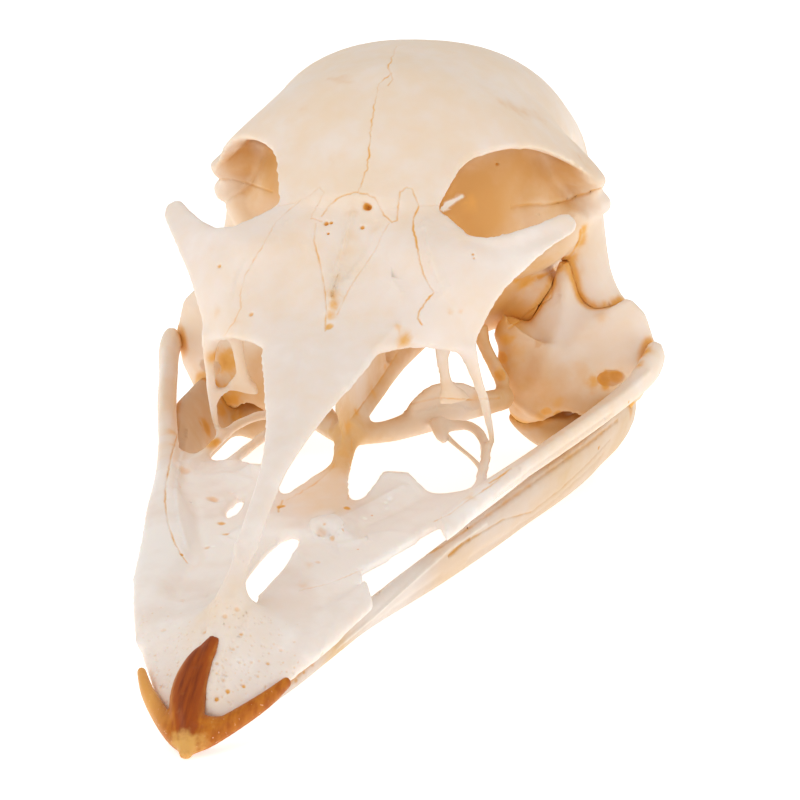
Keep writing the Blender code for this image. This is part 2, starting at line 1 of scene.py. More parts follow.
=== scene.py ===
# %% [markdown]
# # An emu skull, dressed for its portrait
#
# A cleaned, dry emu skull lies on its own lower jaw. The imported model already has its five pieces
# at true size: the skull, the two loose quadrates, the lower jaw and what is left of the horn on
# the bill. This lesson grows each of them again at a finer grain, carves the seams, pits and holes
# that the bone has, and gives them bone and horn finishes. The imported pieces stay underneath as
# the measure of every size.

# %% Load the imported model
import math

import bmesh
import bpy
import numpy as np
from mathutils import Matrix, Vector
from mathutils.bvhtree import BVHTree
from mathutils.kdtree import KDTree
from mathutils.noise import fractal


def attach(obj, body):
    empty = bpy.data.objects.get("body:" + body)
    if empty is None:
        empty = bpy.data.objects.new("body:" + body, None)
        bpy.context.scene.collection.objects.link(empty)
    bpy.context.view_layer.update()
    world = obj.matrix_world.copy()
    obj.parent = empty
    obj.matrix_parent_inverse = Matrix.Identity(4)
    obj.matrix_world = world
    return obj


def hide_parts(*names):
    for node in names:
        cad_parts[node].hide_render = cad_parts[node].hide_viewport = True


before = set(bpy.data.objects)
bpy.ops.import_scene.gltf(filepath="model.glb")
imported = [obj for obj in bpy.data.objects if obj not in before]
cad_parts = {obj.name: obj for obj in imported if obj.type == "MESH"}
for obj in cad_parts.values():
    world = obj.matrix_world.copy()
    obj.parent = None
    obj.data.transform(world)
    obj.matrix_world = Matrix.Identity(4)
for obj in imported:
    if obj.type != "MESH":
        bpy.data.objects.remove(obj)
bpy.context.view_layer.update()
print("packed nodes:", ", ".join(sorted(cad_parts)))

# %% [markdown]
# ## From the drawing board to the table
#
# The bone is drawn in millimetres with the palate level, which makes left and right easy to
# compare. A real skull doesn't lie like that: the hind ends of the jaw and its tip touch the
# table, so the beak dips by a few degrees. One matrix lays everything down, camera included.

# %% Lay the drawing down
MM = 0.001
REST_TILT = 2.7          # degrees that the drawn skull dips at the beak to lie on its jaw
REST_Y = 44.0            # the line about which it dips
REST_DROP = 1.2          # how far it is let down after that, so that the jaw gets flat feet
CENTRE_SHIFT = 0.85      # brings the middle of its length over the origin
hinge_line = Vector((0, REST_Y, 0))
LAY = (Matrix.Scale(MM, 4)
       @ Matrix.Translation(hinge_line + Vector((0, CENTRE_SHIFT, -REST_DROP)))
       @ Matrix.Rotation(math.radians(REST_TILT), 4, "X")
       @ Matrix.Translation(-hinge_line))
print("the drawn beak tip lands at", [round(v, 4) for v in LAY @ Vector((0, -79, 7.6))])

# %% [markdown]
# ## The camera
#
# The picture was taken from in front, a little to the skull's left and from above, with a long
# lens. The camera comes first, because seams and stains that were read off the picture are
# thrown onto the bone from its place.

# %% Set the camera
AZIMUTH, ELEVATION, ROLL = 16.304, 21.478, -3.247
LENS_PIXELS = 4282.25
PICTURE = 800            # width and height of the picture in points
SENSOR = 36              # millimetres
AIM = Vector((7.496, 0, 24.847))
DISTANCE = 600

turn, rise, roll = (math.radians(v) for v in (AZIMUTH, ELEVATION, ROLL))
back = Vector((math.sin(turn) * math.cos(rise), -math.cos(turn) * math.cos(rise), math.sin(rise)))
right = Vector((math.cos(turn), math.sin(turn), 0))
up = back.cross(right)
eye_right = right * math.cos(roll) + up * math.sin(roll)
eye_up = up * math.cos(roll) - right * math.sin(roll)
eye = AIM + back * DISTANCE

camera = bpy.data.objects.new("camera", bpy.data.cameras.new("camera"))
bpy.context.scene.collection.objects.link(camera)
stand = Matrix((eye_right, eye_up, back)).transposed().to_4x4()
stand.translation = eye
place = LAY @ stand
camera.matrix_world = Matrix.LocRotScale(place.translation, place.to_3x3().normalized(), None)
camera.data.sensor_width = SENSOR
camera.data.lens = LENS_PIXELS * SENSOR / PICTURE
camera.data.clip_start = 0.01
bpy.context.scene.camera = camera
print("lens of", round(camera.data.lens, 1), "mm")


def sight_line(u, v):
    """The eye's place and the direction through a point of the picture, in drawn millimetres."""
    across = eye_right * ((u - PICTURE / 2) / LENS_PIXELS)
    down = eye_up * ((v - PICTURE / 2) / LENS_PIXELS)
    return eye, (across - down - back).normalized()


# %% [markdown]
# ## The table and the light
#
# The skull was photographed on white with light from all round, so its hollows glow warm instead
# of going dark. A white world gives part of that, and painted shade and bounce light in the bone's
# colour give the rest. The table is a sheet of pale acrylic lit from below, as product photographers
# use, which keeps the shadows under the bone thin. Two soft panels above give the top of the head
# its shape.

# %% Colours and nodes
def linear(code, strength=1.0):
    """A hex colour as the eye names it, turned to the linear values that the shader mixes."""
    parts = [int(code[i:i + 2], 16) / 255 for i in (1, 3, 5)]
    return [(c / 12.92 if c <= 0.04045 else ((c + 0.055) / 1.055) ** 2.4) * strength for c in parts] + [1]


def add_node(tree, kind, settings=None, links=None, **values):
    """Adds a node, sets its fields and its sockets, and links sockets to other nodes' outputs."""
    node = tree.nodes.new(kind)
    for field, value in (settings or {}).items():
        setattr(node, field, value)
    for socket, value in values.items():
        node.inputs[socket.replace("_", " ")].default_value = value
    for socket, output in (links or {}).items():
        tree.links.new(output, node.inputs[socket])
    return node


print("bone white in linear light:", [round(v, 3) for v in linear("#EADACB")[:3]])

# %% The table
floor_mesh = bmesh.new()
bmesh.ops.create_grid(floor_mesh, x_segments=1, y_segments=1, size=3)
floor_data = bpy.data.meshes.new("table")
floor_mesh.to_mesh(floor_data)
floor_mesh.free()
floor = bpy.data.objects.new("table", floor_data)
bpy.context.scene.collection.objects.link(floor)
acrylic = bpy.data.materials.new("white acrylic sheet")
acrylic.use_nodes = True
sheet = acrylic.node_tree.nodes["Principled BSDF"]
sheet.inputs["Base Color"].default_value = linear("#F6F5F3")
sheet.inputs["Roughness"].default_value = 0.7
sheet.inputs["Emission Color"].default_value = linear("#FFFFFF")
sheet.inputs["Emission Strength"].default_value = 0.6
floor_data.materials.append(acrylic)

# %% The light
world = bpy.data.worlds.new("studio")
bpy.context.scene.world = world
world.use_nodes = True
world.node_tree.nodes["Background"].inputs["Color"].default_value = linear("#FFFDFA")
world.node_tree.nodes["Background"].inputs["Strength"].default_value = 0.68


def add_panel(name, place, size, power):
    """A square light panel that faces the skull."""
    lamp = bpy.data.lights.new(name, "AREA")
    lamp.size = size
    lamp.energy = power
    panel = bpy.data.objects.new(name, lamp)
    bpy.context.scene.collection.objects.link(panel)
    aim = Vector((0, 0.01, 0.03)) - Vector(place)
    panel.matrix_world = Matrix.LocRotScale(Vector(place), aim.to_track_quat("-Z", "Y"), None)


add_panel("panel_left", (-0.45, -0.5, 0.75), 0.5, 1.7)
add_panel("panel_right", (0.7, -0.35, 0.5), 0.6, 0.95)
bpy.context.scene.view_settings.view_transform = "Standard"

# %% [markdown]
# ## Bars, plates and rings
#
# Bird bone is bars, thin plates and one balloon. Three small tools draw them: a tapering bar with
# an oval section, a body through a row of outlines, and a plate through rows of points. Each
# makes a closed form with bmesh operators, and overlapping forms are grown into one skin later.
# A row of a bar's table is x, y, z and its half-sizes across and along its flat direction.

# %% A smooth row of numbers
def smooth_rows(rows, steps):
    """Rows of numbers joined by a Catmull-Rom curve, with so many steps between two rows."""
    out = []
    last = len(rows) - 1
    for i in range(last):
        before = rows[max(i - 1, 0)]
        after = rows[min(i + 2, last)]
        for step in range(steps):
            t = step / steps
            row = []
            for a, b, c, d in zip(before, rows[i], rows[i + 1], after):
                pull = 2 * a - 5 * b + 4 * c - d
                row.append(0.5 * (2 * b + (c - a) * t + pull * t * t + (3 * b - a - 3 * c + d) * t ** 3))
            out.append(row)
    out.append(list(rows[-1]))
    return out


def close_loops(mesh, rings):
    """Joins neighbouring rings of edges with faces and caps both ends."""
    for first, second in zip(rings, rings[1:]):
        bmesh.ops.bridge_loops(mesh, edges=first + second)
    bmesh.ops.holes_fill(mesh, edges=rings[0] + rings[-1], sides=0)


print("half way between 0 and 10:", smooth_rows([(0,), (0,), (10,), (10,)], 2)[3])

# %% A bar
BAR_SIDES = 14
BAR_STEPS = 4
RIGHT_SAG = 1.3          # how much lower the right cheek's hind end and quadrate lie than the left
SAG_START = -22          # where along the drawn skull the right side starts to hang lower
SAG_LENGTH = 52          # over what length it does


def add_bar(mesh, rows, mirror=1, flat=Vector((0, 0, 1))):
    """A tapering bone bar with an oval section, its height measured along the flat direction."""
    stations = smooth_rows(rows, BAR_STEPS)
    flat = Vector((flat.x * mirror, flat.y, flat.z))
    rings = []
    for i, (x, y, z, wide, high) in enumerate(stations):
        ahead = stations[min(i + 1, len(stations) - 1)]
        behind = stations[max(i - 1, 0)]
        along = Vector((ahead[0] - behind[0], ahead[1] - behind[1], ahead[2] - behind[2]))
        along.x *= mirror
        along.normalize()
        across = along.cross(flat).normalized()
        lift = across.cross(along)
        place = Matrix((across * wide, lift * high, along)).transposed().to_4x4()
        place.translation = Vector((x * mirror, y, z))
        made = bmesh.ops.create_circle(mesh, segments=BAR_SIDES, radius=1, matrix=place)
        rings.append(list({edge for vert in made["verts"] for edge in vert.link_edges}))
    close_loops(mesh, rings)


def sagging(rows):
    """The same rows for the skull's right side, which hangs lower towards the back."""
    sagged = []
    for x, y, z, wide, high in rows:
        share = min(1, max(0, (y - SAG_START) / SAG_LENGTH))
        sagged.append((x, y, z - RIGHT_SAG * share, wide, high))
    return sagged


def add_both(mesh, rows, flat=Vector((0, 0, 1))):
    """The same bar on the left and the right."""
    add_bar(mesh, rows, 1, flat)
    add_bar(mesh, rows, -1, flat)


print("one bar ring has", BAR_SIDES, "sides")

# %% Bodies through outlines
def add_rings(mesh, outlines):
    """A closed body through a row of outlines, each a loop of points."""
    rings = []
    for outline in outlines:
        verts = [mesh.verts.new(point) for point in outline]
        rings.append([mesh.edges.new((a, b)) for a, b in zip(verts, verts[1:] + verts[:1])])
    close_loops(mesh, rings)


def mirrored_loop(half):
    """A closed loop from the half on +X, which starts and ends on the midline."""
    return half + [(-x, y, z) for x, y, z in reversed(half[1:-1])]


half_square = [(0, 0, 0), (1, 0, 0), (1, 0, 1), (0, 0, 1)]
print("half a square closes with", len(mirrored_loop(half_square)), "points")

# %% A plate
PLATE_STEPS = 3


def add_plate(mesh, rows, thick, mirror=1):
    """A curved plate through rows of points, thickened downwards."""
    width = 4 * PLATE_STEPS
    smooth = []
    for row in rows:
        span = smooth_rows(row, PLATE_STEPS)
        picked = []
        for i in range(width + 1):
            start, share = divmod(i * (len(span) - 1) / width, 1)
            after = span[min(int(start) + 1, len(span) - 1)]
            picked += [a + (b - a) * share for a, b in zip(span[int(start)], after)]
        smooth.append(picked)
    table = smooth_rows(smooth, PLATE_STEPS)
    made = bmesh.ops.create_grid(mesh, x_segments=width, y_segments=len(table) - 1, size=1)["verts"]
    for i, vert in enumerate(made):
        row, column = divmod(i, width + 1)
        x, y, z = table[row][3 * column:3 * column + 3]
        vert.co = (x * mirror, y, z)
    faces = list({face for vert in made for face in vert.link_faces})
    bmesh.ops.recalc_face_normals(mesh, faces=faces)
    if sum(face.normal.z for face in faces) < 0:
        bmesh.ops.reverse_faces(mesh, faces=faces)
    lower = bmesh.ops.duplicate(mesh, geom=list(made) + faces)["geom"]
    lower_verts = [item for item in lower if isinstance(item, bmesh.types.BMVert)]
    lower_faces = [item for item in lower if isinstance(item, bmesh.types.BMFace)]
    for vert in made:
        vert.normal_update()
    for vert, twin in zip(made, lower_verts):
        twin.co = vert.co - vert.normal * thick
    bmesh.ops.reverse_faces(mesh, faces=lower_faces)
    borders = [edge for face in faces + lower_faces for edge in face.edges if edge.is_boundary]
    bmesh.ops.bridge_loops(mesh, edges=list(set(borders)))


print("a plate is", 4 * PLATE_STEPS, "faces wide")

# %% [markdown]
# ## Growing the forms into one bone
#
# A voxel remesh swallows every overlap, as bone does when it fuses with age, and a few rounds of
# smoothing round off its edges. The result is worked into the mesh, because the seams are carved
# into that skin next.

# %% From forms to a bone
def link_piece(name, mesh):
    """Lays the drawn mesh down on the table and gives it an object at the origin."""
    bmesh.ops.recalc_face_normals(mesh, faces=mesh.faces)
    bmesh.ops.transform(mesh, matrix=LAY, verts=mesh.verts)
    data = bpy.data.meshes.new(name)
    mesh.to_mesh(data)
    mesh.free()
    piece = bpy.data.objects.new(name, data)
    bpy.context.scene.collection.objects.link(piece)
    return piece


def regrow(piece, voxel):
    remesh = piece.modifiers.new("grow together", "REMESH")
    remesh.mode = "VOXEL"
    remesh.voxel_size = voxel * MM
    remesh.use_smooth_shade = True


def soften(piece, rounds, factor=0.5):
    smooth = piece.modifiers.new("soften", "SMOOTH")
    smooth.factor = factor
    smooth.iterations = rounds


def thin_out(piece, keep):
    thin = piece.modifiers.new("fewer faces", "DECIMATE")
    thin.ratio = keep


def cut(piece, cutter):
    away = piece.modifiers.new("clear of " + cutter.name, "BOOLEAN")
    away.operation = "DIFFERENCE"
    away.solver = "EXACT"
    away.object = cutter


def work_in(piece):
    """Works the modifiers into the mesh and counts its triangles."""
    bpy.context.view_layer.update()
    looked = piece.evaluated_get(bpy.context.evaluated_depsgraph_get())
    data = bpy.data.meshes.new_from_object(looked)
    piece.modifiers.clear()
    old = piece.data
    piece.data = data
    bpy.data.meshes.remove(old)
    data.name = piece.name
    data.calc_loop_triangles()
    print(piece.name, "has", len(data.loop_triangles), "triangles")


skull_mesh = bmesh.new()

# %% [markdown]
# ## The braincase and the forehead
#
# The braincase is a balloon of thin bone. The forehead runs forward from it as an arch over the
# eye sockets, with a thin wall hanging between the two sockets.

# %% Draw the braincase and the forehead
DOME_TOP = 64.6          # height of the forehead over the back of the jaw
ROOF = [        # y, height of the ridge, half-width of the rim, its height, how square the arch is
    (9.0, 51.4, 11.6, 49.0, 2.2),
    (14.0, 55.4, 13.4, 52.8, 2.2),
    (18.0, 58.4, 14.9, 54.6, 2.2),
    (22.0, 60.8, 18.8, 55.2, 2.2),
    (26.0, 62.7, 23.4, 53.6, 2.2),
    (30.0, 64.0, 27.0, 50.0, 2.2),
    (34.5, DOME_TOP - 0.5, 29.0, 46.0, 2.4),
    (39.0, DOME_TOP - 0.8, 25.8, 47.4, 2.95),
    (44.0, DOME_TOP - 1.6, 21.4, 50.0, 3.2),
]
ROOF_DEPTH = 2.4         # thickness of the forehead bone
BRAINCASE = [   # y, half-width, heights of the top, of the widest line and of the bottom
    (25.5, 8.0, 56.0, 42.0, 27.0),
    (30.0, 17.5, 61.0, 43.0, 23.0),
    (36.0, 22.0, DOME_TOP - 0.9, 44.5, 20.0),
    (42.0, 23.4, DOME_TOP - 0.7, 44.5, 18.0),
    (49.0, 23.1, 62.4, 42.0, 17.6),
    (56.0, 22.0, 58.6, 40.0, 17.8),
    (63.0, 21.0, 53.2, 37.5, 18.4),
    (69.5, 18.2, 46.4, 34.5, 19.6),
    (74.0, 14.0, 39.6, 31.5, 21.4),
    (76.6, 9.0, 35.0, 29.0, 23.6),
]
BRAINCASE_CURVE = 2.36   # 2 would be an oval, more is squarer
OVAL_STEPS = 14


def roof_outline(y, ridge, rim, rim_height, curve):
    """Section of the forehead: an arch with the thin wall between the eye sockets under it."""
    half = []
    for step in range(9):
        x = rim * step / 8
        half.append((x, y, ridge - (ridge - rim_height) * (x / rim) ** curve))
    for step in range(7, 0, -1):
        x = (rim - 0.7) * step / 8 + 0.4
        half.append((x, y, ridge - ROOF_DEPTH - (ridge - rim_height) * (x / rim) ** curve))
    # the wall hangs down to the rod on the midline
    half += [(1.3, y, ridge - 7), (0.8, y, (ridge + 22) / 2), (0.9, y, 22)]
    return mirrored_loop(half + [(0, y, 21)])


def oval_outline(y, wide, top, waist, bottom):
    """Section of the braincase: two quarter ovals above and below its widest line."""
    half = []
    for step in range(2 * OVAL_STEPS + 1):
        angle = math.pi * step / (2 * OVAL_STEPS)
        reach = abs(math.sin(angle)) ** (2 / BRAINCASE_CURVE)
        rise = abs(math.cos(angle)) ** (2 / BRAINCASE_CURVE)
        height = waist + (top - waist) * rise if angle < math.pi / 2 else waist - (waist - bottom) * rise
        half.append((wide * reach if 0 < step < 2 * OVAL_STEPS else 0, y, height))
    return mirrored_loop(half)


add_rings(skull_mesh, [roof_outline(*row) for row in smooth_rows(ROOF, 4)])
add_rings(skull_mesh, [oval_outline(*row) for row in smooth_rows(BRAINCASE, 4)])
print("forehead and braincase:", len(skull_mesh.faces), "faces")

# %% [markdown]
# ## The back and sides of the head
#
# Behind the eye a blunt process stands out over a second, lower lobe. Below them the cheek wall
# comes down to the jaw joint. The nape has a low crest where the neck muscles held on, a round
# knob that carried the head, and a wing of bone behind each ear.

# %% Draw the back and sides
POSTORBITAL = [(22, 38, 48.6, 3.6, 3.6), (26.5, 36, 47.0, 2.4, 2.2), (29.6, 34.7, 45.7, 1.3, 1.1)]
POSTORBITAL_LOWER = [(22, 40, 43.5, 4.0, 4.0), (27, 37.5, 42.4, 2.6, 2.2), (29.8, 36, 41.8, 1.4, 1.3)]
NOTCH_FILL = [(22, 39, 46, 3.0, 3.0), (27.2, 36.4, 44.2, 1.9, 1.9), (28.8, 35.6, 43.9, 1.1, 1.1)]
ORBIT_LOBE = [(26.0, 35.0, 41.8, 2.4, 2.6), (23.2, 33.8, 38.0, 2.7, 2.7), (20.0, 32.4, 35.6, 2.7, 2.6),
              (16.2, 31.4, 34.4, 2.7, 2.6)]
ORBIT_WALL = [(15, 36, 46, 6.0, 7.0), (20, 35.5, 41.5, 4.8, 5.0), (24.5, 35.5, 40, 3.0, 2.8)]
CHEEK = [(24.6, 39.5, 44, 3.2, 4.0), (25.2, 38.5, 40, 3.4, 3.4), (25.6, 37.4, 35.5, 3.7, 2.8),
         (26.8, 36.4, 31.0, 3.4, 2.4), (29.0, 35.8, 27.4, 2.8, 2.3), (31.6, 35.6, 25.3, 2.1, 2.0),
         (33.9, 35.6, 24.0, 1.3, 1.6)]
EAR_WALL = [(9, 41, 28.5, 6, 7), (14, 38.2, 27.2, 4.8, 6), (18.2, 36.4, 27.4, 3.2, 5),
            (22, 36, 30.5, 2.0, 2.8)]
PAROCCIPITAL = [(15, 54, 33, 7, 5), (19.4, 52.5, 26, 4.6, 2.6), (21.6, 51.5, 20.4, 2.8, 1.4),
                (22.4, 51, 17.4, 1.4, 1.0)]
NAPE_CREST = [(0, 71, 44.6, 2.2, 1.6), (9, 69.6, 42.4, 2.2, 1.6), (15.6, 65.5, 38, 2.4, 1.8),
              (19.4, 60, 32, 2.2, 1.8), (20.0, 55, 27, 2.0, 1.6)]
CONDYLE = [(0, 74, 27.5, 4.0, 3.0), (0, 77.6, 26.8, 2.9, 2.6), (0, 79.4, 26.4, 1.6, 1.4)]
TOWARD_BEAK = Vector((0, -1, 0))

for rows in (POSTORBITAL, POSTORBITAL_LOWER, NOTCH_FILL, ORBIT_LOBE, ORBIT_WALL, EAR_WALL,
             PAROCCIPITAL):
    add_both(skull_mesh, rows)
for rows in (CHEEK, NAPE_CREST):
    add_both(skull_mesh, rows, flat=TOWARD_BEAK)
add_bar(skull_mesh, CONDYLE)
print("with the back and sides:", len(skull_mesh.faces), "faces")

# %% [markdown]
# ## The palate
#
# Under the eyes a rod of bone runs forward on the midline. Two bars cross to it from the jaw
# joints, with a small crest and a knob where they turn forward, and a thin hook reaches out to
# the cheek bar. In front of the crossing the vomer widens into a plate.

# %% Draw the bars of the palate
ROSTRUM = [(0, -2, 20.8, 1.7, 1.5), (0, 10, 21.0, 1.8, 1.6), (0, 22, 21.6, 2.2, 2.0),
           (0, 34, 22.5, 4.0, 3.2)]
SEPTUM_FRONT = [(0, 10, 46.0, 3.4, 3.0), (0, 0, 40.5, 2.4, 3.0), (0, -8, 36.8, 1.6, 1.8)]
PTERYGOID = [(0.5, -1.4, 19.6, 1.9, 1.4), (4.2, 5.2, 17.9, 2.0, 1.6), (8.0, 10.2, 17.8, 2.4, 1.9),
             (12.4, 15.0, 17.9, 2.1, 1.9), (15.2, 21.0, 16.7, 1.7, 1.8), (16.2, 25.6, 15.6, 1.6, 1.8)]
PTERYGOID_LINK = [(11.7, 28.6, 25.6, 1.5, 1.5), (12.6, 27.8, 22.8, 1.1, 1.1),
                  (14.0, 27.0, 20.4, 1.1, 1.1), (15.9, 26.0, 17.4, 1.3, 1.3)]
PTERYGOID_CREST = [(6.5, 8.5, 19.4, 1.0, 1.4), (9, 11, 20.8, 0.9, 2.2), (12, 13.5, 21.0, 0.8, 1.8),
                   (15, 16, 19.6, 0.7, 0.9)]
PALATINE_KNOB = [(10.4, 8, 19.0, 1.4, 1.2), (11.6, 5.8, 17.6, 1.2, 1.0), (12.5, 4.6, 16.8, 0.8, 0.7)]
PALATINE_HOOK = [(11.6, 8, 17.9, 1.0, 0.9), (15.2, 7.6, 18.3, 1.0, 0.8), (18.0, 4.2, 18.1, 0.9, 0.8),
                 (19.7, -0.6, 17.3, 0.9, 0.8), (20.5, -6, 17.0, 0.9, 0.8), (21.6, -11, 17.1, 1.1, 0.8)]
SHELF_SPUR = [(15.6, -8.4, 16.8, 1.2, 0.8), (15.5, -5.6, 16.9, 0.95, 0.85), (15.0, -2.4, 16.9, 0.9, 0.85),
              (14.1, 1.0, 17.1, 0.9, 0.85), (12.6, 4.8, 17.6, 1.0, 0.9), (10.4, 8.4, 17.9, 1.0, 0.9)]
VOMER = [(0, 0.6, 20.2, 1.9, 1.2), (-0.1, -2.6, 18.6, 1.8, 1.1), (0.5, -7.4, 17.4, 1.7, 1.0),
         (0, -12.4, 16.9, 3.4, 0.9), (-0.1, -17, 16.6, 5.2, 0.8), (0, -24, 16.4, 7.2, 0.8),
         (0, -30, 16.5, 9.0, 0.7)]
SEPTUM = [(0, 4.6, 41.6, 3.6, 0.9), (0, 1.6, 38, 9, 0.8), (0, 1.5, 31, 9, 0.75), (0, 4, 25.5, 10, 0.75),
          (0, 7, 21.6, 9, 0.9)]

for rows in (ROSTRUM, SEPTUM_FRONT, VOMER):
    add_bar(skull_mesh, rows)
for rows in (PTERYGOID, PTERYGOID_CREST, PALATINE_KNOB, PALATINE_HOOK):
    add_both(skull_mesh, rows)
add_both(skull_mesh, PTERYGOID_LINK, flat=TOWARD_BEAK)
add_bar(skull_mesh, SHELF_SPUR, -1)
add_bar(skull_mesh, SEPTUM, flat=Vector((1, 0, 0)))
print("with the palate bars:", len(skull_mesh.faces), "faces")

# %% [markdown]
# ## The face
#
# Between the eyes and the bill lies a shield of thin bone: the nasal bones in the middle and the
# tear bones at the sides, whose wings reach out over the eyes. A long bar runs from it down to the
# bill. Thin struts hang from its lower corners.

# %% Draw the face
SHELL = 1.3              # thickness of the nasal and tear bones
FACE = [        # one row of points across the face, from the middle to the side, for each station
    [(-0.8, 11, 52.2), (6, 11, 51.6), (12, 10.6, 49.6), (18, 5.4, 47.8), (24, 9.8, 47.8),
     (28.4, 15.2, 48.4)],
    [(-0.8, 8, 49.8), (6, 7.8, 49.4), (12, 6, 48.4), (18, 4, 47.2), (24, 8, 47.0), (30.8, 14.8, 46.6)],
    [(-0.8, 4, 47.2), (5, 3.8, 47.0), (11, 1.6, 46.8), (17.6, 2.2, 46.2), (22.6, 5.0, 45.8),
     (27.8, 8.6, 45.2)],
    [(-0.8, -2, 42.8), (5, -1.6, 43.0), (12, -2.0, 43.2), (17, -1.4, 42.8), (20.4, 0.2, 42.2),
     (23.3, 1.6, 41.6)],
    [(-0.8, -8, 39.0), (5, -7.6, 39.2), (12.6, -6.8, 39.6), (16.6, -4.6, 38.4), (19.0, -2.8, 38.0),
     (21.0, -1.5, 37.6)],
    [(-0.8, -14, 36.8), (5, -13.6, 36.9), (11.6, -10.4, 37.0), (16, -7.0, 35.4), (18.2, -5.0, 34.2),
     (19.6, -3.4, 33.8)],
]
NASAL_BAR = [(0, -6, 38.2, 9.0, 1.3), (0, -12.7, 36.2, 8.6, 1.1), (0, -17.8, 34.6, 7.0, 1.1),
             (0, -22.6, 33.0, 5.4, 1.1), (0, -27, 31.4, 3.9, 1.2), (0, -32, 29.9, 2.7, 1.3),
             (0, -38, 27.9, 1.8, 1.3), (0, -48, 24.0, 1.6, 1.3), (0, -54, 21.6, 2.0, 1.4),
             (0, -60, 18.4, 2.8, 1.6)]
FACE_MIDDLE = [(0, 5, 46.9, 2.0, 0.9), (0, -2, 41.8, 2.0, 0.9), (0, -8, 38.1, 2.0, 0.9),
               (0, -13, 36.2, 2.0, 0.8)]
TEAR_BONE_ROD = [(18.4, -3.6, 35.2, 1.7, 1.2), (19.2, -2.8, 31, 1.0, 0.9), (19.9, -1, 26, 0.8, 0.9),
                 (20.2, 0.3, 21.5, 0.7, 0.8), (20.3, 1.2, 18.4, 0.6, 0.6)]
INNER_STRUT = [(15.1, -3.4, 35.6, 1.5, 0.9), (14.8, -2.8, 31.6, 1.05, 0.7), (14.9, -1.8, 28.4, 1.2, 0.7),
               (15.2, -0.6, 26.4, 2.2, 0.85), (15.5, 0.2, 25.0, 2.8, 0.85)]
INNER_BRIDGE = [(16.6, 0.2, 25.6, 0.7, 0.6), (18.6, -0.2, 24.8, 0.6, 0.6), (20.0, 0, 23.0, 0.6, 0.6)]

for side in (1, -1):
    add_plate(skull_mesh, FACE, SHELL, side)
add_bar(skull_mesh, NASAL_BAR)
add_bar(skull_mesh, FACE_MIDDLE)
for rows in (TEAR_BONE_ROD, INNER_STRUT):
    add_both(skull_mesh, rows, flat=TOWARD_BEAK)
add_bar(skull_mesh, INNER_BRIDGE, -1, flat=TOWARD_BEAK)
print("with the face:", len(skull_mesh.faces), "faces")

# %% [markdown]
# ## The bill and the cheek bars
#
# The bill is a low roof of bone. Its rims run back into the cheek bars, as thin as knitting
# needles, to the jaw joints. Between the rims lie two wafers of bone. On the left the rim has
# broken away, which leaves the wafer's torn edge bare.

# %% Draw the bill
PALATE = 1.4             # thickness of the palate shelves
RIM_FRONT = [(9.6, -60, 13.6, 2.9, 1.6), (13.0, -50.9, 15.2, 2.8, 1.4), (15.2, -45, 15.9, 2.4, 1.3),
             (16.4, -41, 16.2, 2.2, 1.2)]
RIM_MIDDLE = [(14.4, -46, 15.8, 3.2, 1.3), (15.6, -39, 16.3, 3.5, 1.2), (17.2, -32, 16.6, 3.5, 1.2),
              (19.4, -25, 17.0, 3.0, 1.3), (21.1, -20, 17.1, 1.9, 1.3)]
CHEEK_BAR = [(18.8, -29.5, 16.8, 2.2, 1.2), (20.3, -25, 17.0, 2.1, 1.3), (21.1, -22, 17.1, 1.9, 1.4),
             (23.3, -13, 17.4, 1.7, 1.5), (26.5, -2.4, 17.3, 1.6, 1.5), (29.3, 5.8, 17.5, 1.5, 1.6),
             (32.2, 14.5, 17.8, 1.5, 1.6), (35.2, 24.5, 18.4, 1.5, 1.8), (36.8, 30, 19.8, 1.6, 2.5),
             (37.0, 33.4, 21.0, 1.5, 2.3)]
SHELF = [
    [(0.8, -58, 17.6), (6, -57, 15.6), (12, -56, 14.8)],
    [(2.0, -46, 17.4), (6.6, -46, 15.9), (12.8, -44.6, 15.6)],
    [(2.1, -38, 17.2), (7.8, -38, 15.9), (13.4, -38.6, 16.1)],
    [(1.4, -31, 16.8), (8.6, -30, 15.9), (16.6, -30, 16.4)],
    [(1.2, -25, 16.4), (9.5, -22, 16.0), (19.2, -22, 16.8)],
    [(5.4, -17, 16.6), (10, -15, 17.6), (14.5, -14.6, 16.6), (21.8, -13, 17.2)],
    [(8.0, -12, 19.4), (11.6, -11.6, 19.2), (15.5, -12.4, 16.6), (22.8, -9.6, 17.2)],
]
SHELF_BACK = [
    [(5.4, -17, 16.8), (10, -15, 17.4), (14.5, -14.6, 16.8), (21.8, -13, 17.2)],
    [(7.4, -12, 18.0), (11.6, -11.4, 17.8), (16.5, -10.6, 17.0), (23.2, -9, 17.2)],
    [(10.4, -7.6, 17.0), (14.0, -6.8, 17.0), (18.0, -5.8, 17.0), (24.8, -3.4, 17.3)],
]
BILL = [        # y, half-width, heights of the ridge, of the rim and of the underside
    (-55.0, 14.4, 19.8, 15.0, 13.0),
    (-60.0, 12.2, 19.0, 14.0, 12.0),
    (-65.0, 9.6, 16.8, 12.8, 10.8),
    (-70.0, 6.6, 14.2, 11.4, 9.4),
    (-73.5, 3.4, 12.0, 10.4, 9.0),
]
BILL_RIDGE = 2.6         # half-width of the ridge along the top of the bill
SCROLL_AT = (4.3, -27.6, 16.9)
SCROLL_SIZE = (2.3, 2.4, 1.75, 1)


def bill_outline(y, wide, ridge, edge, bottom):
    """Section of the bill: a rounded ridge, hollow flanks and a flat underside."""
    ridge_side = min(BILL_RIDGE, wide * 0.4)
    flank = (ridge_side + wide) / 2
    half = [(0, y, ridge), (ridge_side * 0.6, y, ridge - 0.3), (ridge_side, y, ridge - 1.0)]
    half += [(flank, y, edge + (ridge - edge) * 0.2), (wide - 0.8, y, edge + 0.1),
             (wide, y, edge - 0.8)]
    half += [(wide - 0.6, y, edge - 1.8), (flank, y, bottom + 0.6), (0, y, bottom + 1.0)]
    return mirrored_loop(half)


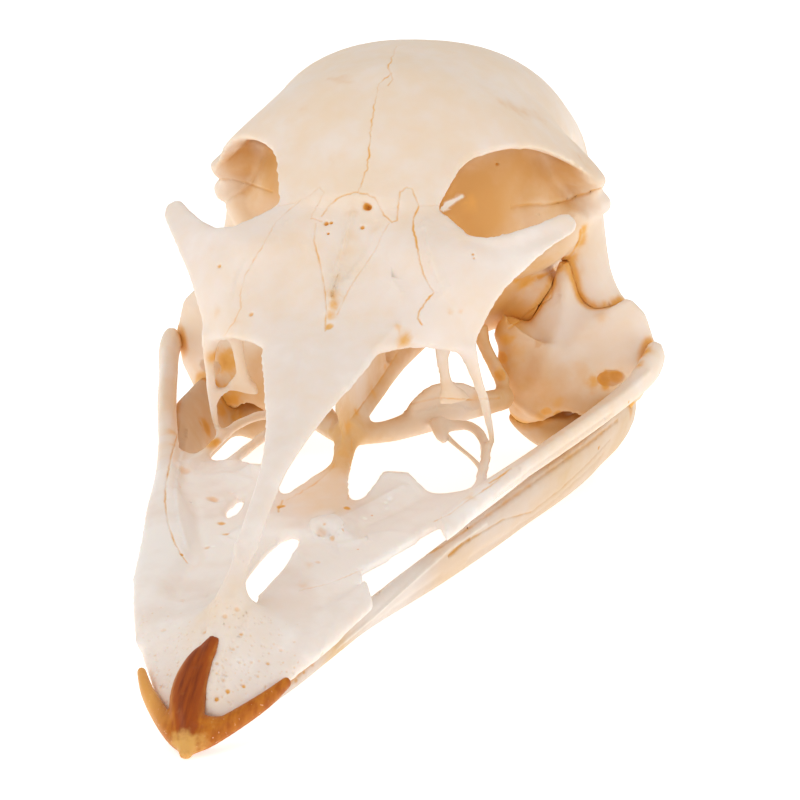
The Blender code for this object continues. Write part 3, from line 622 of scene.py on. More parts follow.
add_rings(skull_mesh, [bill_outline(*row) for row in smooth_rows(BILL, 4)])
add_both(skull_mesh, RIM_FRONT)
add_bar(skull_mesh, RIM_MIDDLE, -1)
add_bar(skull_mesh, CHEEK_BAR)
add_bar(skull_mesh, sagging(CHEEK_BAR), -1)
add_plate(skull_mesh, SHELF_BACK, PALATE, -1)
for side in (1, -1):
    add_plate(skull_mesh, SHELF, PALATE, side)
# A scroll of thin bone inside the nose, on the left shelf
scroll = Matrix.Translation(SCROLL_AT) @ Matrix.Diagonal(SCROLL_SIZE)
bmesh.ops.create_icosphere(skull_mesh, subdivisions=3, radius=1, matrix=scroll)
print("the whole skull:", len(skull_mesh.faces), "faces")

# %% [markdown]
# ## Hollows
#
# The opening for the spinal cord, the hollows for the jaw muscles, the ears and a few small holes
# are carved out of the first growth, with the broken edge of the left wafer. Then the bone is
# grown again, which rounds the lips of every cut.

# %% Carve the hollows and grow the skull
SHELF_HOLE = (-11.2, -20.4, 17.0, 1.0, 3.7, 3.4)     # the hole in the right wafer
HOLLOWS = [     # x, y, z and the three half-sizes of an oval hollow
    (0, 77.5, 34.2, 4.6, 6.5, 4.4),       # opening for the spinal cord
    (28.6, 46.0, 45.5, 6.6, 6.5, 8.5),    # hollow for the jaw muscle, left
    (-28.6, 46.0, 45.5, 6.6, 6.5, 8.5),   # hollow for the jaw muscle, right
    (22.6, 44.5, 27.5, 5.4, 4.2, 6.0),    # ear, left
    (-22.6, 44.5, 27.5, 5.4, 4.2, 6.0),   # ear, right
    (0, 18.8, 24.6, 3.0, 1.7, 1.5),       # slit over the skull's base
    SHELF_HOLE,
]
LEFT_BREAK = [(11.9, -38.2), (15.0, -45.2), (18.0, -51.8), (25.0, -36.5), (18.4, -22.4), (15.1, -30.8)]


def hollow_forms(name, hollows, breaks=()):
    """Oval forms and upright prisms that are cut out of a bone."""
    mesh = bmesh.new()
    for x, y, z, wide, deep, high in hollows:
        place = Matrix.Translation((x, y, z)) @ Matrix.Diagonal((wide, deep, high, 1))
        bmesh.ops.create_icosphere(mesh, subdivisions=4, radius=1, matrix=place)
    for plan in breaks:
        add_rings(mesh, [[(x, y, level) for x, y in plan] for level in (8, 26)])
    return link_piece(name, mesh)


SKULL_GRAIN = 0.5        # size of the voxels in millimetres
SKULL_KEEP = 0.28        # share of the faces that a skull without marks needs
hollows = hollow_forms("hollows", HOLLOWS, [LEFT_BREAK])
skull = link_piece("skull_bone", skull_mesh)
regrow(skull, SKULL_GRAIN)
soften(skull, 4)
cut(skull, hollows)
regrow(skull, SKULL_GRAIN)
soften(skull, 2)
thin_out(skull, SKULL_KEEP)
work_in(skull)
bpy.data.objects.remove(hollows)

# %% [markdown]
# ## The quadrates
#
# The quadrate is the bone that a bird's jaw swings on. In a dry skull it sits loose in its socket,
# with a hair of air round it, so it's a piece of its own here too.

# %% Draw the quadrates
QUADRATE = [(23.2, 35.6, 33.6, 1.1, 1.4), (23.3, 35.0, 30.2, 1.9, 1.8), (23.1, 34.4, 27.4, 3.4, 2.2),
            (23.4, 33.8, 25.4, 5.8, 2.4), (24.2, 33.2, 23.6, 9.0, 2.6), (25.4, 32.6, 21.6, 11.8, 2.8),
            (24.2, 32.0, 19.4, 12.2, 3.0), (23.2, 31.6, 17.4, 11.4, 3.2), (22.0, 31.2, 16.0, 9.6, 3.2),
            (21.6, 31.0, 14.4, 8.2, 3.2), (20.9, 30.6, 12.6, 6.2, 3.0), (21.2, 30.6, 11.4, 4.0, 2.4)]
QUADRATE_SKEW = 0.14     # how far the quadrate's outer side stands back for each step outwards
QUADRATE_FINGER = [(18.0, 32, 20.4, 3.4, 3.4), (15.8, 32.0, 22.8, 2.9, 2.8), (13.9, 32.4, 24.2, 1.8, 1.9)]
QUADRATE_HOLLOW = [(31.0, 30.2, 17.4, 2.3, 1.7, 1.3), (-31.0, 30.2, 16.1, 2.3, 1.7, 1.3)]
quadrate_hollows = hollow_forms("quadrate_hollows", QUADRATE_HOLLOW)


def grow_quadrate(name, side):
    mesh = bmesh.new()
    rows = QUADRATE if side > 0 else sagging(QUADRATE)
    add_bar(mesh, rows, side, flat=Vector((QUADRATE_SKEW, -1, 0)))
    add_bar(mesh, QUADRATE_FINGER, side)
    quadrate = link_piece(name, mesh)
    regrow(quadrate, 0.4)
    soften(quadrate, 5)
    cut(quadrate, quadrate_hollows)
    work_in(quadrate)
    return quadrate


left_quadrate = grow_quadrate("left_quadrate_bone", 1)
right_quadrate = grow_quadrate("right_quadrate_bone", -1)
bpy.data.objects.remove(quadrate_hollows)

# %% [markdown]
# ## The lower jaw
#
# Two blades of bone meet at the tip in a thin shelf. Each leans outwards, thickens towards the
# joint and sends a short process inwards under the quadrate.

# %% Draw the lower jaw
JAW = [(0, -74.6, 7.5, 1.6, 1.1), (2.4, -72.6, 8.3, 1.6, 1.0), (4.8, -69.2, 9.1, 1.5, 0.9),
       (7.4, -64, 10.0, 1.3, 1.1), (9.2, -60, 10.5, 1.2, 1.3), (11.0, -52, 10.8, 1.3, 2.0),
       (13.4, -40, 10.5, 1.4, 2.6), (18.2, -22, 9.9, 1.7, 3.7), (22.6, -8, 10.1, 1.8, 4.3),
       (25.2, 0, 10.5, 1.9, 4.5), (28.2, 10, 10.6, 1.9, 4.9), (29.8, 17, 10.6, 1.9, 5.1),
       (30.2, 24, 10.0, 1.9, 5.2), (30.2, 32, 9.2, 2.4, 5.2), (29.0, 39, 7.4, 2.7, 5.2),
       (28.0, 45, 4.9, 2.3, 4.6), (27.4, 50, 4.2, 1.3, 2.8)]
JAW_LEAN = 0.42          # how far the jaw's flanks lean outwards for each step up
JAW_PROCESS = [(28.6, 35, 7, 3.0, 3.0), (24, 33, 7.4, 3.4, 3.6), (20, 31.6, 8.8, 3.0, 3.0),
               (17, 30.8, 10.2, 2.0, 1.8), (15.4, 30.6, 11.2, 1.0, 0.9)]
JAW_SHELF = [(0, -74.4, 7.8, 2.4, 0.7), (0, -70, 8.6, 4.4, 0.6), (0, -65, 9.4, 6.4, 0.6),
             (0, -61, 9.9, 7.4, 0.5)]

jaw_mesh = bmesh.new()
add_both(jaw_mesh, JAW, flat=Vector((JAW_LEAN, 0, 1)))
add_both(jaw_mesh, JAW_PROCESS)
add_bar(jaw_mesh, JAW_SHELF)
lower_jaw = link_piece("lower_jaw_bone", jaw_mesh)
regrow(lower_jaw, 0.45)
soften(lower_jaw, 4)
work_in(lower_jaw)

# %% [markdown]
# ## The horn
#
# In life the whole bill wears a coat of horn. On this skull only its tip is left: a nail on the
# ridge of the bill and two wings along its rims.

# %% Draw the horn
SHEATH_EDGE = [(9.9, -65.8, 12.5, 0.6, 0.8), (7.9, -69.6, 11.4, 0.9, 1.2), (4.7, -73.8, 10.1, 1.2, 1.4),
               (1.9, -76.8, 9.1, 1.3, 1.5), (0.3, -78.3, 8.3, 0.8, 1.0)]
SHEATH_NAIL = [(-0.2, -64.4, 17.0, 0.6, 0.6), (-1.2, -67.6, 15.4, 1.8, 1.2), (-1.6, -71, 13.4, 2.3, 1.6),
               (-1.0, -74.6, 11.2, 2.3, 1.9), (-0.2, -77.2, 9.0, 1.6, 1.7), (0, -79.5, 7.6, 0.7, 0.7)]

# Thin webs of horn that close the corners between the nail and the wings
SHEATH_WEB = [(0.6, -75.6, 11.0, 1.2, 0.7), (2.4, -75.2, 10.6, 1.1, 0.7), (4.0, -74.2, 10.4, 0.8, 0.6)]

horn_mesh = bmesh.new()
add_both(horn_mesh, SHEATH_EDGE)
add_bar(horn_mesh, SHEATH_NAIL)
add_both(horn_mesh, SHEATH_WEB)
beak_sheath = link_piece("bill_horn", horn_mesh)
regrow(beak_sheath, 0.3)
soften(beak_sheath, 4)
work_in(beak_sheath)

# %% [markdown]
# ## Air in the joints
#
# Where two bones meet there's a hair of air. A copy of each neighbour, swollen by that much, is
# taken away from the skull and the jaw. The table trims the jaw's feet and the tip of the horn
# flat, and one strand of bone that is too thin to be grown with the rest is joined on.

# %% Copies with air round them
JOINT_AIR = 0.03         # millimetres between the bones
HORN_AIR = 0.02          # and between the bill and its horn


def swollen(piece, gap):
    cutter = piece.copy()
    cutter.data = piece.data.copy()
    cutter.name = piece.name + "_clearance"
    bpy.context.scene.collection.objects.link(cutter)
    swell = cutter.modifiers.new("gap", "DISPLACE")
    swell.mid_level = 0
    swell.strength = gap * MM
    regrow(cutter, 0.35)
    work_in(cutter)
    return cutter


def flat_table():
    """A block under the table's surface, to trim the jaw's feet and the horn's tip flat."""
    mesh = bmesh.new()
    bmesh.ops.create_cube(mesh, size=1, matrix=Matrix.Diagonal((0.2, 0.2, 0.02, 1)))
    bmesh.ops.translate(mesh, verts=mesh.verts, vec=(0, 0, -0.01))
    data = bpy.data.meshes.new("table_block")
    mesh.to_mesh(data)
    mesh.free()
    block = bpy.data.objects.new("table_block", data)
    bpy.context.scene.collection.objects.link(block)
    return block


cutters = [swollen(left_quadrate, JOINT_AIR), swollen(right_quadrate, JOINT_AIR)]
horn_room = swollen(beak_sheath, HORN_AIR)
table_block = flat_table()

# %% Clear the joints
for cutter in cutters:
    cut(skull, cutter)
    cut(lower_jaw, cutter)
cut(skull, horn_room)
cut(lower_jaw, table_block)
cut(beak_sheath, table_block)

# The left hook's second strand, as thin as a hair
HOOK_STRAND = [(11.0, 7.9, 17.5, 0.5, 0.4), (12.8, 5.6, 17.0, 0.4, 0.35), (15.0, 2.9, 16.8, 0.32, 0.3),
               (17.6, -0.6, 16.9, 0.3, 0.3), (19.8, -4.4, 17.1, 0.4, 0.35), (20.6, -7.0, 17.0, 0.4, 0.3)]
strand_mesh = bmesh.new()
add_bar(strand_mesh, HOOK_STRAND)
strand = link_piece("hook_strand", strand_mesh)
joined = skull.modifiers.new("hook strand", "BOOLEAN")
joined.operation = "UNION"
joined.solver = "EXACT"
joined.object = strand
for piece in (skull, lower_jaw, beak_sheath):
    work_in(piece)
for cutter in cutters + [horn_room, table_block, strand]:
    bpy.data.objects.remove(cutter)

# %% [markdown]
# ## Soften what the drawing leaves hard
#
# Where the wafers of the palate run in under the bill, the drawing leaves a hard step. On the
# real bone it's a soft swelling, so the corners near it are averaged with their neighbours. The
# tops of the quadrates and the blunt hind ends of the jaw get the same.

# %% Soften the steps
TO_DRAWING = LAY.inverted()


def soften_where(piece, wanted, rounds):
    """Averages the corners whose drawn place is wanted with their neighbours."""
    mesh = bmesh.new()
    mesh.from_mesh(piece.data)
    chosen = [vert for vert in mesh.verts if wanted(TO_DRAWING @ vert.co)]
    for _ in range(rounds):
        bmesh.ops.smooth_vert(mesh, verts=chosen, factor=0.5, use_axis_x=True, use_axis_y=True,
                              use_axis_z=True)
    mesh.to_mesh(piece.data)
    mesh.free()
    print(piece.name, "softened at", len(chosen), "corners")


for quadrate in (left_quadrate, right_quadrate):
    soften_where(quadrate, lambda at: abs(at.x) < 24 and at.z > 16.5, 14)
soften_where(skull, lambda at: -62 < at.y < -50.5 and at.z > 14.2 and abs(at.x) < 12.5, 40)
soften_where(lower_jaw, lambda at: at.y > 47, 30)

# %% [markdown]
# ## Reading the picture
#
# Seams, pits and stains are noted as points of the 800 by 800 picture. A sight line through each
# point is followed from the eye to the first bone that it meets, and the mark is left there.

# %% Follow a sight line to the bone
PIECES = [skull, left_quadrate, right_quadrate, lower_jaw, beak_sheath]


def tree_of(piece):
    mesh = bmesh.new()
    mesh.from_mesh(piece.data)
    tree = BVHTree.FromBMesh(mesh)
    mesh.free()
    return tree


trees = [tree_of(piece) for piece in PIECES]


def seen_at(u, v):
    """Which bone shows at a point of the picture, and the place on it."""
    start, ahead = sight_line(u, v)
    start = LAY @ start
    ahead = (LAY.to_3x3() @ ahead).normalized()
    nearest = None
    for number, tree in enumerate(trees):
        place, normal, face, reach = tree.ray_cast(start, ahead)
        if place is not None and (nearest is None or reach < nearest[2]):
            nearest = (number, place, reach)
    return nearest


print("the middle of the brow shows", PIECES[seen_at(360, 240)[0]].name)

# %% [markdown]
# ## Seams
#
# The bones of a young skull meet in seams, and this one still shows many: fine zigzag lines with a
# little orange collagen left in them. Each is a row of picture points with its colour (below zero
# is paler than the bone), half-width and depth in millimetres, and the size of its zigzag. The row
# for the crevice behind the left eye is partly painted shade, and one row is a spot of painted light.

# %% List the seams
SEAMS = [
    # between the two frontal bones
    (0.75, 0.15, 0.08, 0.9, [(396, 46), (388, 68), (391, 73), (379, 84), (375, 101), (372, 119),
                             (370, 135), (369, 152), (367, 168), (361, 183), (358, 193)]),
    (0.7, 0.15, 0.06, 0.7, [(391, 73), (393, 79), (388, 86)]),
    # arch round the middle bone of the brow, with its two tongues
    (0.7, 0.16, 0.10, 0.5, [(311, 218), (322, 221)]),
    (0.6, 0.16, 0.10, 0.5, [(322, 216), (328, 207), (338, 198), (348, 194), (357, 192), (367, 194),
                            (375, 198), (380, 207), (384, 215), (392, 222), (397, 220), (398, 207),
                            (400, 192), (407, 187), (412, 189), (417, 200), (419, 206)]),
    (0.3, 0.16, 0.06, 0.6, [(278, 206), (293, 203), (308, 196), (320, 187), (324, 192), (318, 205),
                            (313, 212), (311, 218)]),
    (0.3, 0.16, 0.06, 0.6, [(419, 206), (430, 205), (442, 205)]),
    # sides of the middle bone
    (0.65, 0.17, 0.10, 0.3, [(316, 223), (314, 240), (317, 253), (321, 267), (323, 280), (325, 293),
                             (326, 310), (325, 331)]),
    (0.4, 0.15, 0.08, 0.3, [(389, 223), (383, 233), (375, 250), (365, 265), (353, 282), (345, 297),
                            (337, 315)]),
    # between the nasal and the tear bone, left and right
    (0.85, 0.16, 0.12, 0.5, [(419, 206), (414, 217), (413, 228), (416, 240), (419, 257), (423, 273),
                             (428, 283), (434, 292), (427, 300), (419, 312), (418, 318), (422, 325)]),
    (0.4, 0.16, 0.08, 0.5, [(300, 200), (277, 220), (260, 250), (245, 275), (240, 295), (241, 307),
                            (235, 320), (223, 337)]),
    # painted light: a white spot in the front corner of the left eye socket, where light shines through a
    # slit
    (-2.0, 0.4, 0.02, 0.4, [(443, 208), (449, 204), (455, 200), (462, 196)]),
    # behind the left eye: groove between the two lobes, crevice under the lower lobe, whose orange band
    # is stain and painted shade
    (0.55, 0.30, 0.25, 0.4, [(512, 207), (530, 205), (550, 204), (570, 199), (588, 193), (601, 189)]),
    (0.95, 0.38, 0.12, 0.3, [(581, 230), (580, 240), (572, 254), (561, 265), (548, 273), (538, 277)]),
    (0.7, 0.70, 0.02, 0.3, [(584, 228), (583, 240), (575, 255), (563, 267), (550, 275)]),
    (0.8, 0.20, 0.12, 0.6, [(551, 270), (552, 286), (551, 298), (537, 306), (522, 319), (508, 328)]),
    # the same on the right
    (0.45, 0.25, 0.15, 0.4, [(216, 180), (230, 179), (248, 183), (272, 192)]),
    # upper jaw and premaxilla, right and left
    (0.6, 0.15, 0.14, 0.4, [(179, 420), (177, 437), (172, 453), (166, 483), (165, 503), (168, 523),
                             (174, 541), (181, 553), (188, 563)]),
    (0.5, 0.18, 0.10, 0.4, [(500, 478), (488, 487), (465, 502), (449, 514), (434, 521)]),
    (0.7, 0.18, 0.12, 0.3, [(511, 468), (499, 477), (489, 483)]),
    (0.35, 0.18, 0.08, 0.5, [(300, 590), (330, 583), (363, 569)]),
    # vomer, left edge and tip
    (0.45, 0.24, 0.05, 0.8, [(338, 446), (333, 468), (312, 486), (286, 500)]),
    (0.6, 0.20, 0.10, 0.8, [(282, 500), (280, 506), (278, 512)]),
    (0.5, 0.20, 0.05, 0.5, [(352, 440), (350, 470), (348, 500)]),
    # palate bars
    (0.55, 0.22, 0.10, 0.3, [(408, 404), (440, 398), (470, 400), (500, 398)]),
    (0.6, 0.22, 0.08, 0.4, [(350, 420), (366, 400), (384, 374), (398, 352)]),
    # left half of the jaw: groove under the rim, pale ridge, slit and seam in front of it
    (0.55, 0.38, 0.18, 0.3, [(376, 594), (406, 567), (450, 540), (500, 506), (545, 474),
                             (588, 444), (618, 420)]),
    (-0.6, 0.35, -0.22, 0.0, [(336, 648), (373, 617), (407, 586), (450, 548), (486, 523)]),
    (1.0, 0.34, 0.25, 0.3, [(449, 556), (456, 550), (463, 544), (471, 539)]),
    (0.6, 0.22, 0.14, 0.3, [(471, 539), (486, 530), (503, 520), (532, 512)]),
    (0.35, 0.30, 0.12, 0.3, [(532, 512), (560, 490), (590, 462), (610, 440)]),
]
print(len(SEAMS), "seams with", sum(len(seam[4]) for seam in SEAMS), "points")

# %% [markdown]
# ## Pits and stains
#
# Blood vessels left small holes round the bill and the tear bones. Fat and collagen left yellow
# and orange stains where the bone is spongy. The orange patches under the nasal bone, round the left
# quadrate and inside the right cheek are partly painted shade in those recesses. Each row is a
# picture point, its radius in picture points, its colour and its depth in millimetres.

# %% List the pits and stains
SPOTS = [
    # holes at the top of the middle bone, and its brown stain
    (366, 206, 3.4, 1.6, 0.7), (369, 207, 2.6, 1.6, 0.6), (362, 226, 2.2, 1.1, 0.5),
    (326, 223, 2.6, 1.3, 0.5), (331, 222, 1.8, 1.3, 0.4), (328, 233, 1.3, 1.4, 0.4),
    (332, 292, 7.0, 0.6, 0.0), (334, 304, 6.5, 0.7, 0.0), (331, 315, 6.0, 0.7, 0.0),
    (329, 326, 5.0, 1.15, 0.2), (338, 257, 7.0, 0.3, 0.0), (345, 240, 6.0, 0.2, 0.0),
    (336, 274, 8.0, 0.3, 0.0),
    (350, 214, 11.0, 0.26, 0.0), (352, 232, 12.0, 0.26, 0.0), (343, 252, 12.0, 0.30, 0.0),
    (336, 275, 9.0, 0.34, 0.0), (372, 230, 8.0, 0.2, 0.0),
    # brow and face; the orange patch under the nasal bone is stain and painted shade
    (383, 257, 5.0, 0.25, 0.0), (450, 312, 4.0, 0.45, 0.0), (398, 327, 4.0, 0.45, 0.0),
    (406, 340, 7.0, 0.9, 0.0), (297, 282, 3.0, 0.2, 0.0), (473, 254, 1.6, 0.8, 0.25),
    (474, 258, 1.2, 0.7, 0.2), (461, 311, 3.0, 0.4, 0.0), (497, 164, 1.2, 2.0, 0.4),
    (219, 266, 2.2, 0.7, 0.25), (211, 252, 4.0, 0.25, 0.0), (217, 311, 5.0, 0.4, 0.0),
    (251, 314, 2.4, 0.7, 0.3), (236, 322, 6.0, 0.3, 0.0), (472, 200, 7.0, 0.6, 0.0),
    (468, 207, 6.0, 0.9, 0.0), (445, 96, 12.0, 0.12, 0.0), (462, 92, 8.0, 0.14, 0.0),
    # right shelf
    (213, 498, 6.5, 0.5, 0.35), (217, 500, 4.0, 0.3, 0.2), (184, 470, 7.0, 0.4, 0.1),
    (222, 523, 4.0, 0.7, 0.2), (226, 534, 4.0, 0.6, 0.2), (207, 546, 3.5, 0.5, 0.15),
    (213, 546, 2.2, -0.9, 0.1), (182, 554, 2.0, 1.5, 0.3), (198, 568, 9.0, 0.3, 0.0),
    (180, 487, 1.5, 0.5, 0.1), (232, 492, 2.0, -0.5, 0.15), (237, 497, 1.6, -0.5, 0.15),
    (182, 600, 3.0, 0.3, 0.05), (171, 432, 9.0, 0.5, 0.0), (173, 445, 6.0, 0.4, 0.0),
    # nose and left shelf
    (281, 506, 4.5, 1.2, 0.1), (347, 508, 3.5, 1.0, 0.1), (270, 520, 7.0, 0.4, 0.0),
    (322, 533, 6.0, 0.35, 0.25), (325, 526, 1.6, 0.5, 0.25), (342, 528, 2.2, 0.5, 0.25),
    (332, 540, 3.0, 0.5, 0.25), (342, 533, 1.8, 0.5, 0.2), (358, 549, 1.2, 1.3, 0.15),
    (390, 498, 3.4, -1.0, 0.3), (386, 502, 2.6, -0.9, 0.2), (365, 518, 2.4, -0.9, 0.1),
    (372, 515, 1.2, 0.8, 0.1), (387, 508, 3.0, -0.6, 0.1), (470, 497, 9.0, 0.45, 0.0),
    (310, 565, 5.0, 0.35, 0.0), (302, 585, 7.0, 0.3, 0.0), (318, 562, 3.0, 0.4, 0.1),
    # crossing of the palate bars
    (348, 428, 6.0, 1.0, 0.0), (356, 412, 5.0, 0.9, 0.0), (372, 390, 6.0, 0.6, 0.0),
    (385, 366, 6.0, 0.7, 0.0), (342, 452, 7.0, 0.5, 0.0), (426, 392, 8.0, 0.3, 0.0),
    (476, 398, 8.0, 0.5, 0.0),
    # left quadrate and its joints: orange patches that are stain and painted shade in its recesses
    (505, 340, 8.0, 0.9, 0.0), (502, 358, 7.0, 1.2, 0.1), (500, 374, 7.0, 1.2, 0.1),
    (512, 322, 11.0, 0.6, 0.0), (526, 315, 12.0, 0.5, 0.0), (540, 306, 8.0, 0.4, 0.0),
    (514, 352, 12.0, 0.5, 0.0), (526, 281, 10.0, 0.8, 0.0), (518, 280, 5.5, 1.0, 0.0),
    (526, 280, 5.5, 1.1, 0.0), (533, 279, 5.0, 1.0, 0.0), (604, 379, 10.0, 1.0, 0.0),
    (615, 377, 11.0, 1.1, 0.0), (594, 384, 8.0, 0.8, 0.0), (580, 370, 14.0, 0.35, 0.0),
    (548, 411, 5.0, 0.9, 0.1), (558, 413, 5.0, 1.0, 0.1), (568, 412, 4.0, 0.8, 0.1),
    (540, 416, 5.0, 0.6, 0.0), (558, 405, 8.0, 0.5, 0.0), (645, 352, 7.0, 0.9, 0.0),
    (640, 364, 6.0, 0.8, 0.0), (600, 316, 8.0, 0.4, 0.0), (575, 282, 9.0, 0.3, 0.0),
    (629, 402, 2.0, 0.9, 0.1), (599, 448, 2.2, 1.1, 0.15), (560, 428, 6.0, 0.4, 0.0),
    # inside the right cheek: orange patches that are stain and painted shade in the recess
    (207, 428, 13.0, 1.2, 0.0), (212, 442, 9.0, 1.1, 0.0), (226, 362, 15.0, 1.1, 0.0),
    (214, 356, 10.0, 0.8, 0.0), (231, 396, 15.0, 1.1, 0.0), (238, 412, 12.0, 1.0, 0.0),
    (222, 410, 11.0, 1.0, 0.0), (182, 344, 8.0, 0.5, 0.0), (180, 334, 6.0, 0.4, 0.0),
    (201, 424, 6.0, 0.7, 0.0),
    # vessel holes round the bill's tip
    (217, 699, 2.0, 0.9, 0.30), (228, 691, 2.2, 0.9, 0.30), (244, 686, 2.0, 0.9, 0.30),
    (258, 676, 1.8, 0.45, 0.25), (268, 663, 2.0, 0.6, 0.30), (217, 663, 2.0, 0.5, 0.25),
    (240, 662, 1.6, 0.5, 0.20), (252, 662, 1.5, 0.5, 0.20), (242, 633, 2.2, 0.5, 0.25),
    (225, 617, 2.6, 0.45, 0.20), (237, 609, 2.6, 0.45, 0.20), (203, 631, 2.4, 0.45, 0.20),
    (281, 650, 1.8, 0.4, 0.20), (224, 679, 2.0, 0.4, 0.20), (217, 673, 1.6, 0.4, 0.20),
    (234, 648, 1.8, 0.4, 0.20), (252, 645, 1.4, 0.3, 0.15), (262, 622, 1.4, 0.25, 0.15),
    (160, 687, 1.8, 0.4, 0.20), (167, 687, 1.5, 0.35, 0.20), (178, 662, 1.6, 0.35, 0.20),
    (158, 671, 1.5, 0.3, 0.20), (176, 647, 1.4, 0.3, 0.15), (163, 630, 3.0, 0.3, 0.10),
    (183, 601, 1.8, 0.3, 0.15), (155, 655, 1.4, 0.3, 0.15), (187, 634, 1.4, 0.25, 0.15),
    (165, 650, 1.4, 0.25, 0.15), (170, 675, 1.5, 0.3, 0.20), (149, 640, 1.3, 0.25, 0.15),
    # grainy edge of the jaw behind the horn
    (296, 680, 3.0, 0.7, 0.1), (304, 672, 2.5, 0.6, 0.1), (312, 664, 3.0, 0.5, 0.1),
    (322, 655, 3.0, 0.4, 0.1),
]
print(len(SPOTS), "pits and stains")

# %% [markdown]
# ## Ridges and grooves
#
# Wider forms follow the same way: the lip of the scroll, the folds of the left wafer, the long
# ridges of the jaw, the sunken middle bone. Each has a height in millimetres (below zero for a
# groove), a half-width and its row of picture points.

# %% List the ridges
def ring(u, v, wide, high, turns=14):
    """Picture points round an oval."""
    return [(u + wide * math.cos(i * math.tau / turns), v + high * math.sin(i * math.tau / turns))
            for i in range(turns + 1)]


RIDGES = [
    # middle bone of the brow: sunken, with a thin ridge in it
    (-0.35, 2.0, [(350, 218), (345, 240), (338, 265), (333, 290)]),
    (-0.25, 1.2, [(372, 222), (362, 245), (348, 275)]),
    (0.38, 0.34, [(353, 212), (347, 232), (341, 252), (336, 268)]),
    (0.22, 0.40, [(391, 279), (396, 286), (402, 294)]),
    # lips beside the seams of the tear bone, and the folds of its wing
    (0.25, 0.8, [(424, 222), (428, 245), (436, 270), (444, 290)]),
    (-0.30, 1.6, [(455, 226), (490, 246), (525, 243), (556, 232)]),
    (0.30, 0.9, [(441, 212), (462, 236), (500, 240), (540, 230), (572, 216)]),
    (-0.25, 1.4, [(450, 300), (462, 318), (470, 340)]),
    (0.20, 0.7, [(283, 222), (262, 250), (247, 278), (243, 305)]),
    (-0.30, 1.5, [(225, 240), (235, 265), (233, 290)]),
    (-0.25, 1.8, [(300, 240), (290, 270), (290, 310)]),
    # lip of the left eye socket
    (0.22, 0.6, [(448, 190), (462, 168), (485, 152), (512, 146), (540, 152), (570, 168), (592, 184)]),
    (0.20, 0.6, [(226, 160), (240, 146), (256, 142), (270, 150)]),
    # nasal bar: a crest along its left side and its end on the bill
    (0.25, 0.5, [(398, 325), (372, 352), (346, 392), (330, 430)]),
    (-0.22, 0.9, [(300, 350), (292, 392), (282, 440)]),
    (-0.28, 0.6, [(251, 603), (240, 630), (230, 655), (223, 684)]),
    (-0.22, 0.6, [(206, 612), (203, 640), (197, 664)]),
    (0.25, 0.9, [(228, 600), (220, 630), (214, 652)]),
    # scroll and folds of the left wafer
    (0.85, 1.9, [(322, 526), (327, 528), (332, 530)]),
    (0.32, 0.34, ring(327, 528, 14, 13)),
    (-0.55, 0.7, [(320, 532), (322, 533), (324, 534)]),
    (0.32, 0.40, [(342, 518), (360, 509), (383, 497), (403, 486)]),
    (0.28, 0.45, [(330, 548), (353, 543), (387, 533), (420, 517), (440, 508)]),
    (-0.30, 0.9, [(350, 530), (380, 518), (410, 503)]),
    (0.25, 0.50, [(292, 545), (300, 560), (302, 580)]),
    (0.25, 0.5, [(372, 480), (390, 474), (408, 478), (420, 492)]),
    # right wafer: rolled hind edge, thin oval, ridge along its rim
    (0.30, 0.40, [(203, 464), (220, 462), (240, 462), (258, 468)]),
    (0.28, 0.45, [(205, 476), (226, 474), (250, 480)]),
    (-0.22, 1.0, [(181, 462), (184, 472), (187, 480)]),
    (0.25, 0.6, [(186, 430), (183, 450), (176, 480), (177, 515), (186, 545)]),
    (-0.25, 0.8, [(196, 500), (198, 525), (206, 555)]),
    (0.22, 0.5, [(222, 536), (236, 545), (240, 560)]),
    # left cheek bar and jaw
    (0.30, 0.45, [(505, 478), (540, 452), (580, 424), (620, 396), (648, 372)]),
    (-0.30, 0.45, [(500, 495), (535, 468), (575, 440), (612, 414)]),
    (0.40, 0.50, [(373, 618), (407, 587), (450, 548), (486, 523), (530, 488), (566, 462)]),
    (-0.30, 0.9, [(470, 560), (510, 534), (560, 494), (600, 458)]),
    (-0.25, 0.8, [(360, 634), (400, 606), (440, 577)]),
    # quadrate: hollow beside the joint, blunt ridge up to its head
    (-0.45, 1.7, [(590, 352), (610, 345), (630, 340)]),
    (0.30, 1.2, [(566, 285), (563, 315), (552, 345), (540, 380)]),
    (-0.40, 1.4, [(528, 352), (525, 372), (532, 396)]),
    (0.35, 0.5, [(512, 398), (528, 412), (545, 420), (566, 420), (582, 412)]),
    # palate bars
    (0.25, 0.40, [(402, 412), (440, 407), (478, 408)]),
    (0.25, 0.40, [(366, 398), (380, 372), (392, 352)]),
    # right quadrate and cheek
    (0.25, 0.6, [(166, 350), (164, 380), (163, 410)]),
]
print(len(RIDGES), "ridges and grooves")

# %% [markdown]
# ## Leaving the marks
#
# A seam is followed in half-point steps with a small zigzag. Where the bone slopes away from the
# eye the steps spread out, so more marks are put between them.

# %% Follow the seams
luck = np.random.default_rng(11)
seam_marks = [[] for _ in PIECES]     # place, colour, half-width, depth
SEAM_STEP = 0.5                       # picture points between two marks of a seam
TURN_EVERY = 5                        # marks from one turn of the zigzag to the next
FADE_EVERY = 14                       # marks over which a seam's strength changes
SEAM_GAP = 0.08 * MM                  # between two marks on the bone, at most
SEAM_JUMP = 1.2 * MM                  # a wider step has jumped from one surface to another


def zigzag(points, size):
    """The points of a seam, a step apart, with a random zigzag."""
    path = []
    for (u0, v0), (u1, v1) in zip(points, points[1:]):
        length = math.hypot(u1 - u0, v1 - v0)
        count = max(1, round(length / SEAM_STEP))
        for step in range(count):
            share = step / count
            path.append((u0 + (u1 - u0) * share, v0 + (v1 - v0) * share,
                         (v0 - v1) / length, (u1 - u0) / length))
    turns = luck.uniform(-1, 1, len(path) // TURN_EVERY + 3) * size
    sway = np.interp(np.arange(len(path)), np.arange(len(turns)) * TURN_EVERY, turns)
    return [(u + across * s, v + down * s) for (u, v, across, down), s in zip(path, sway)]


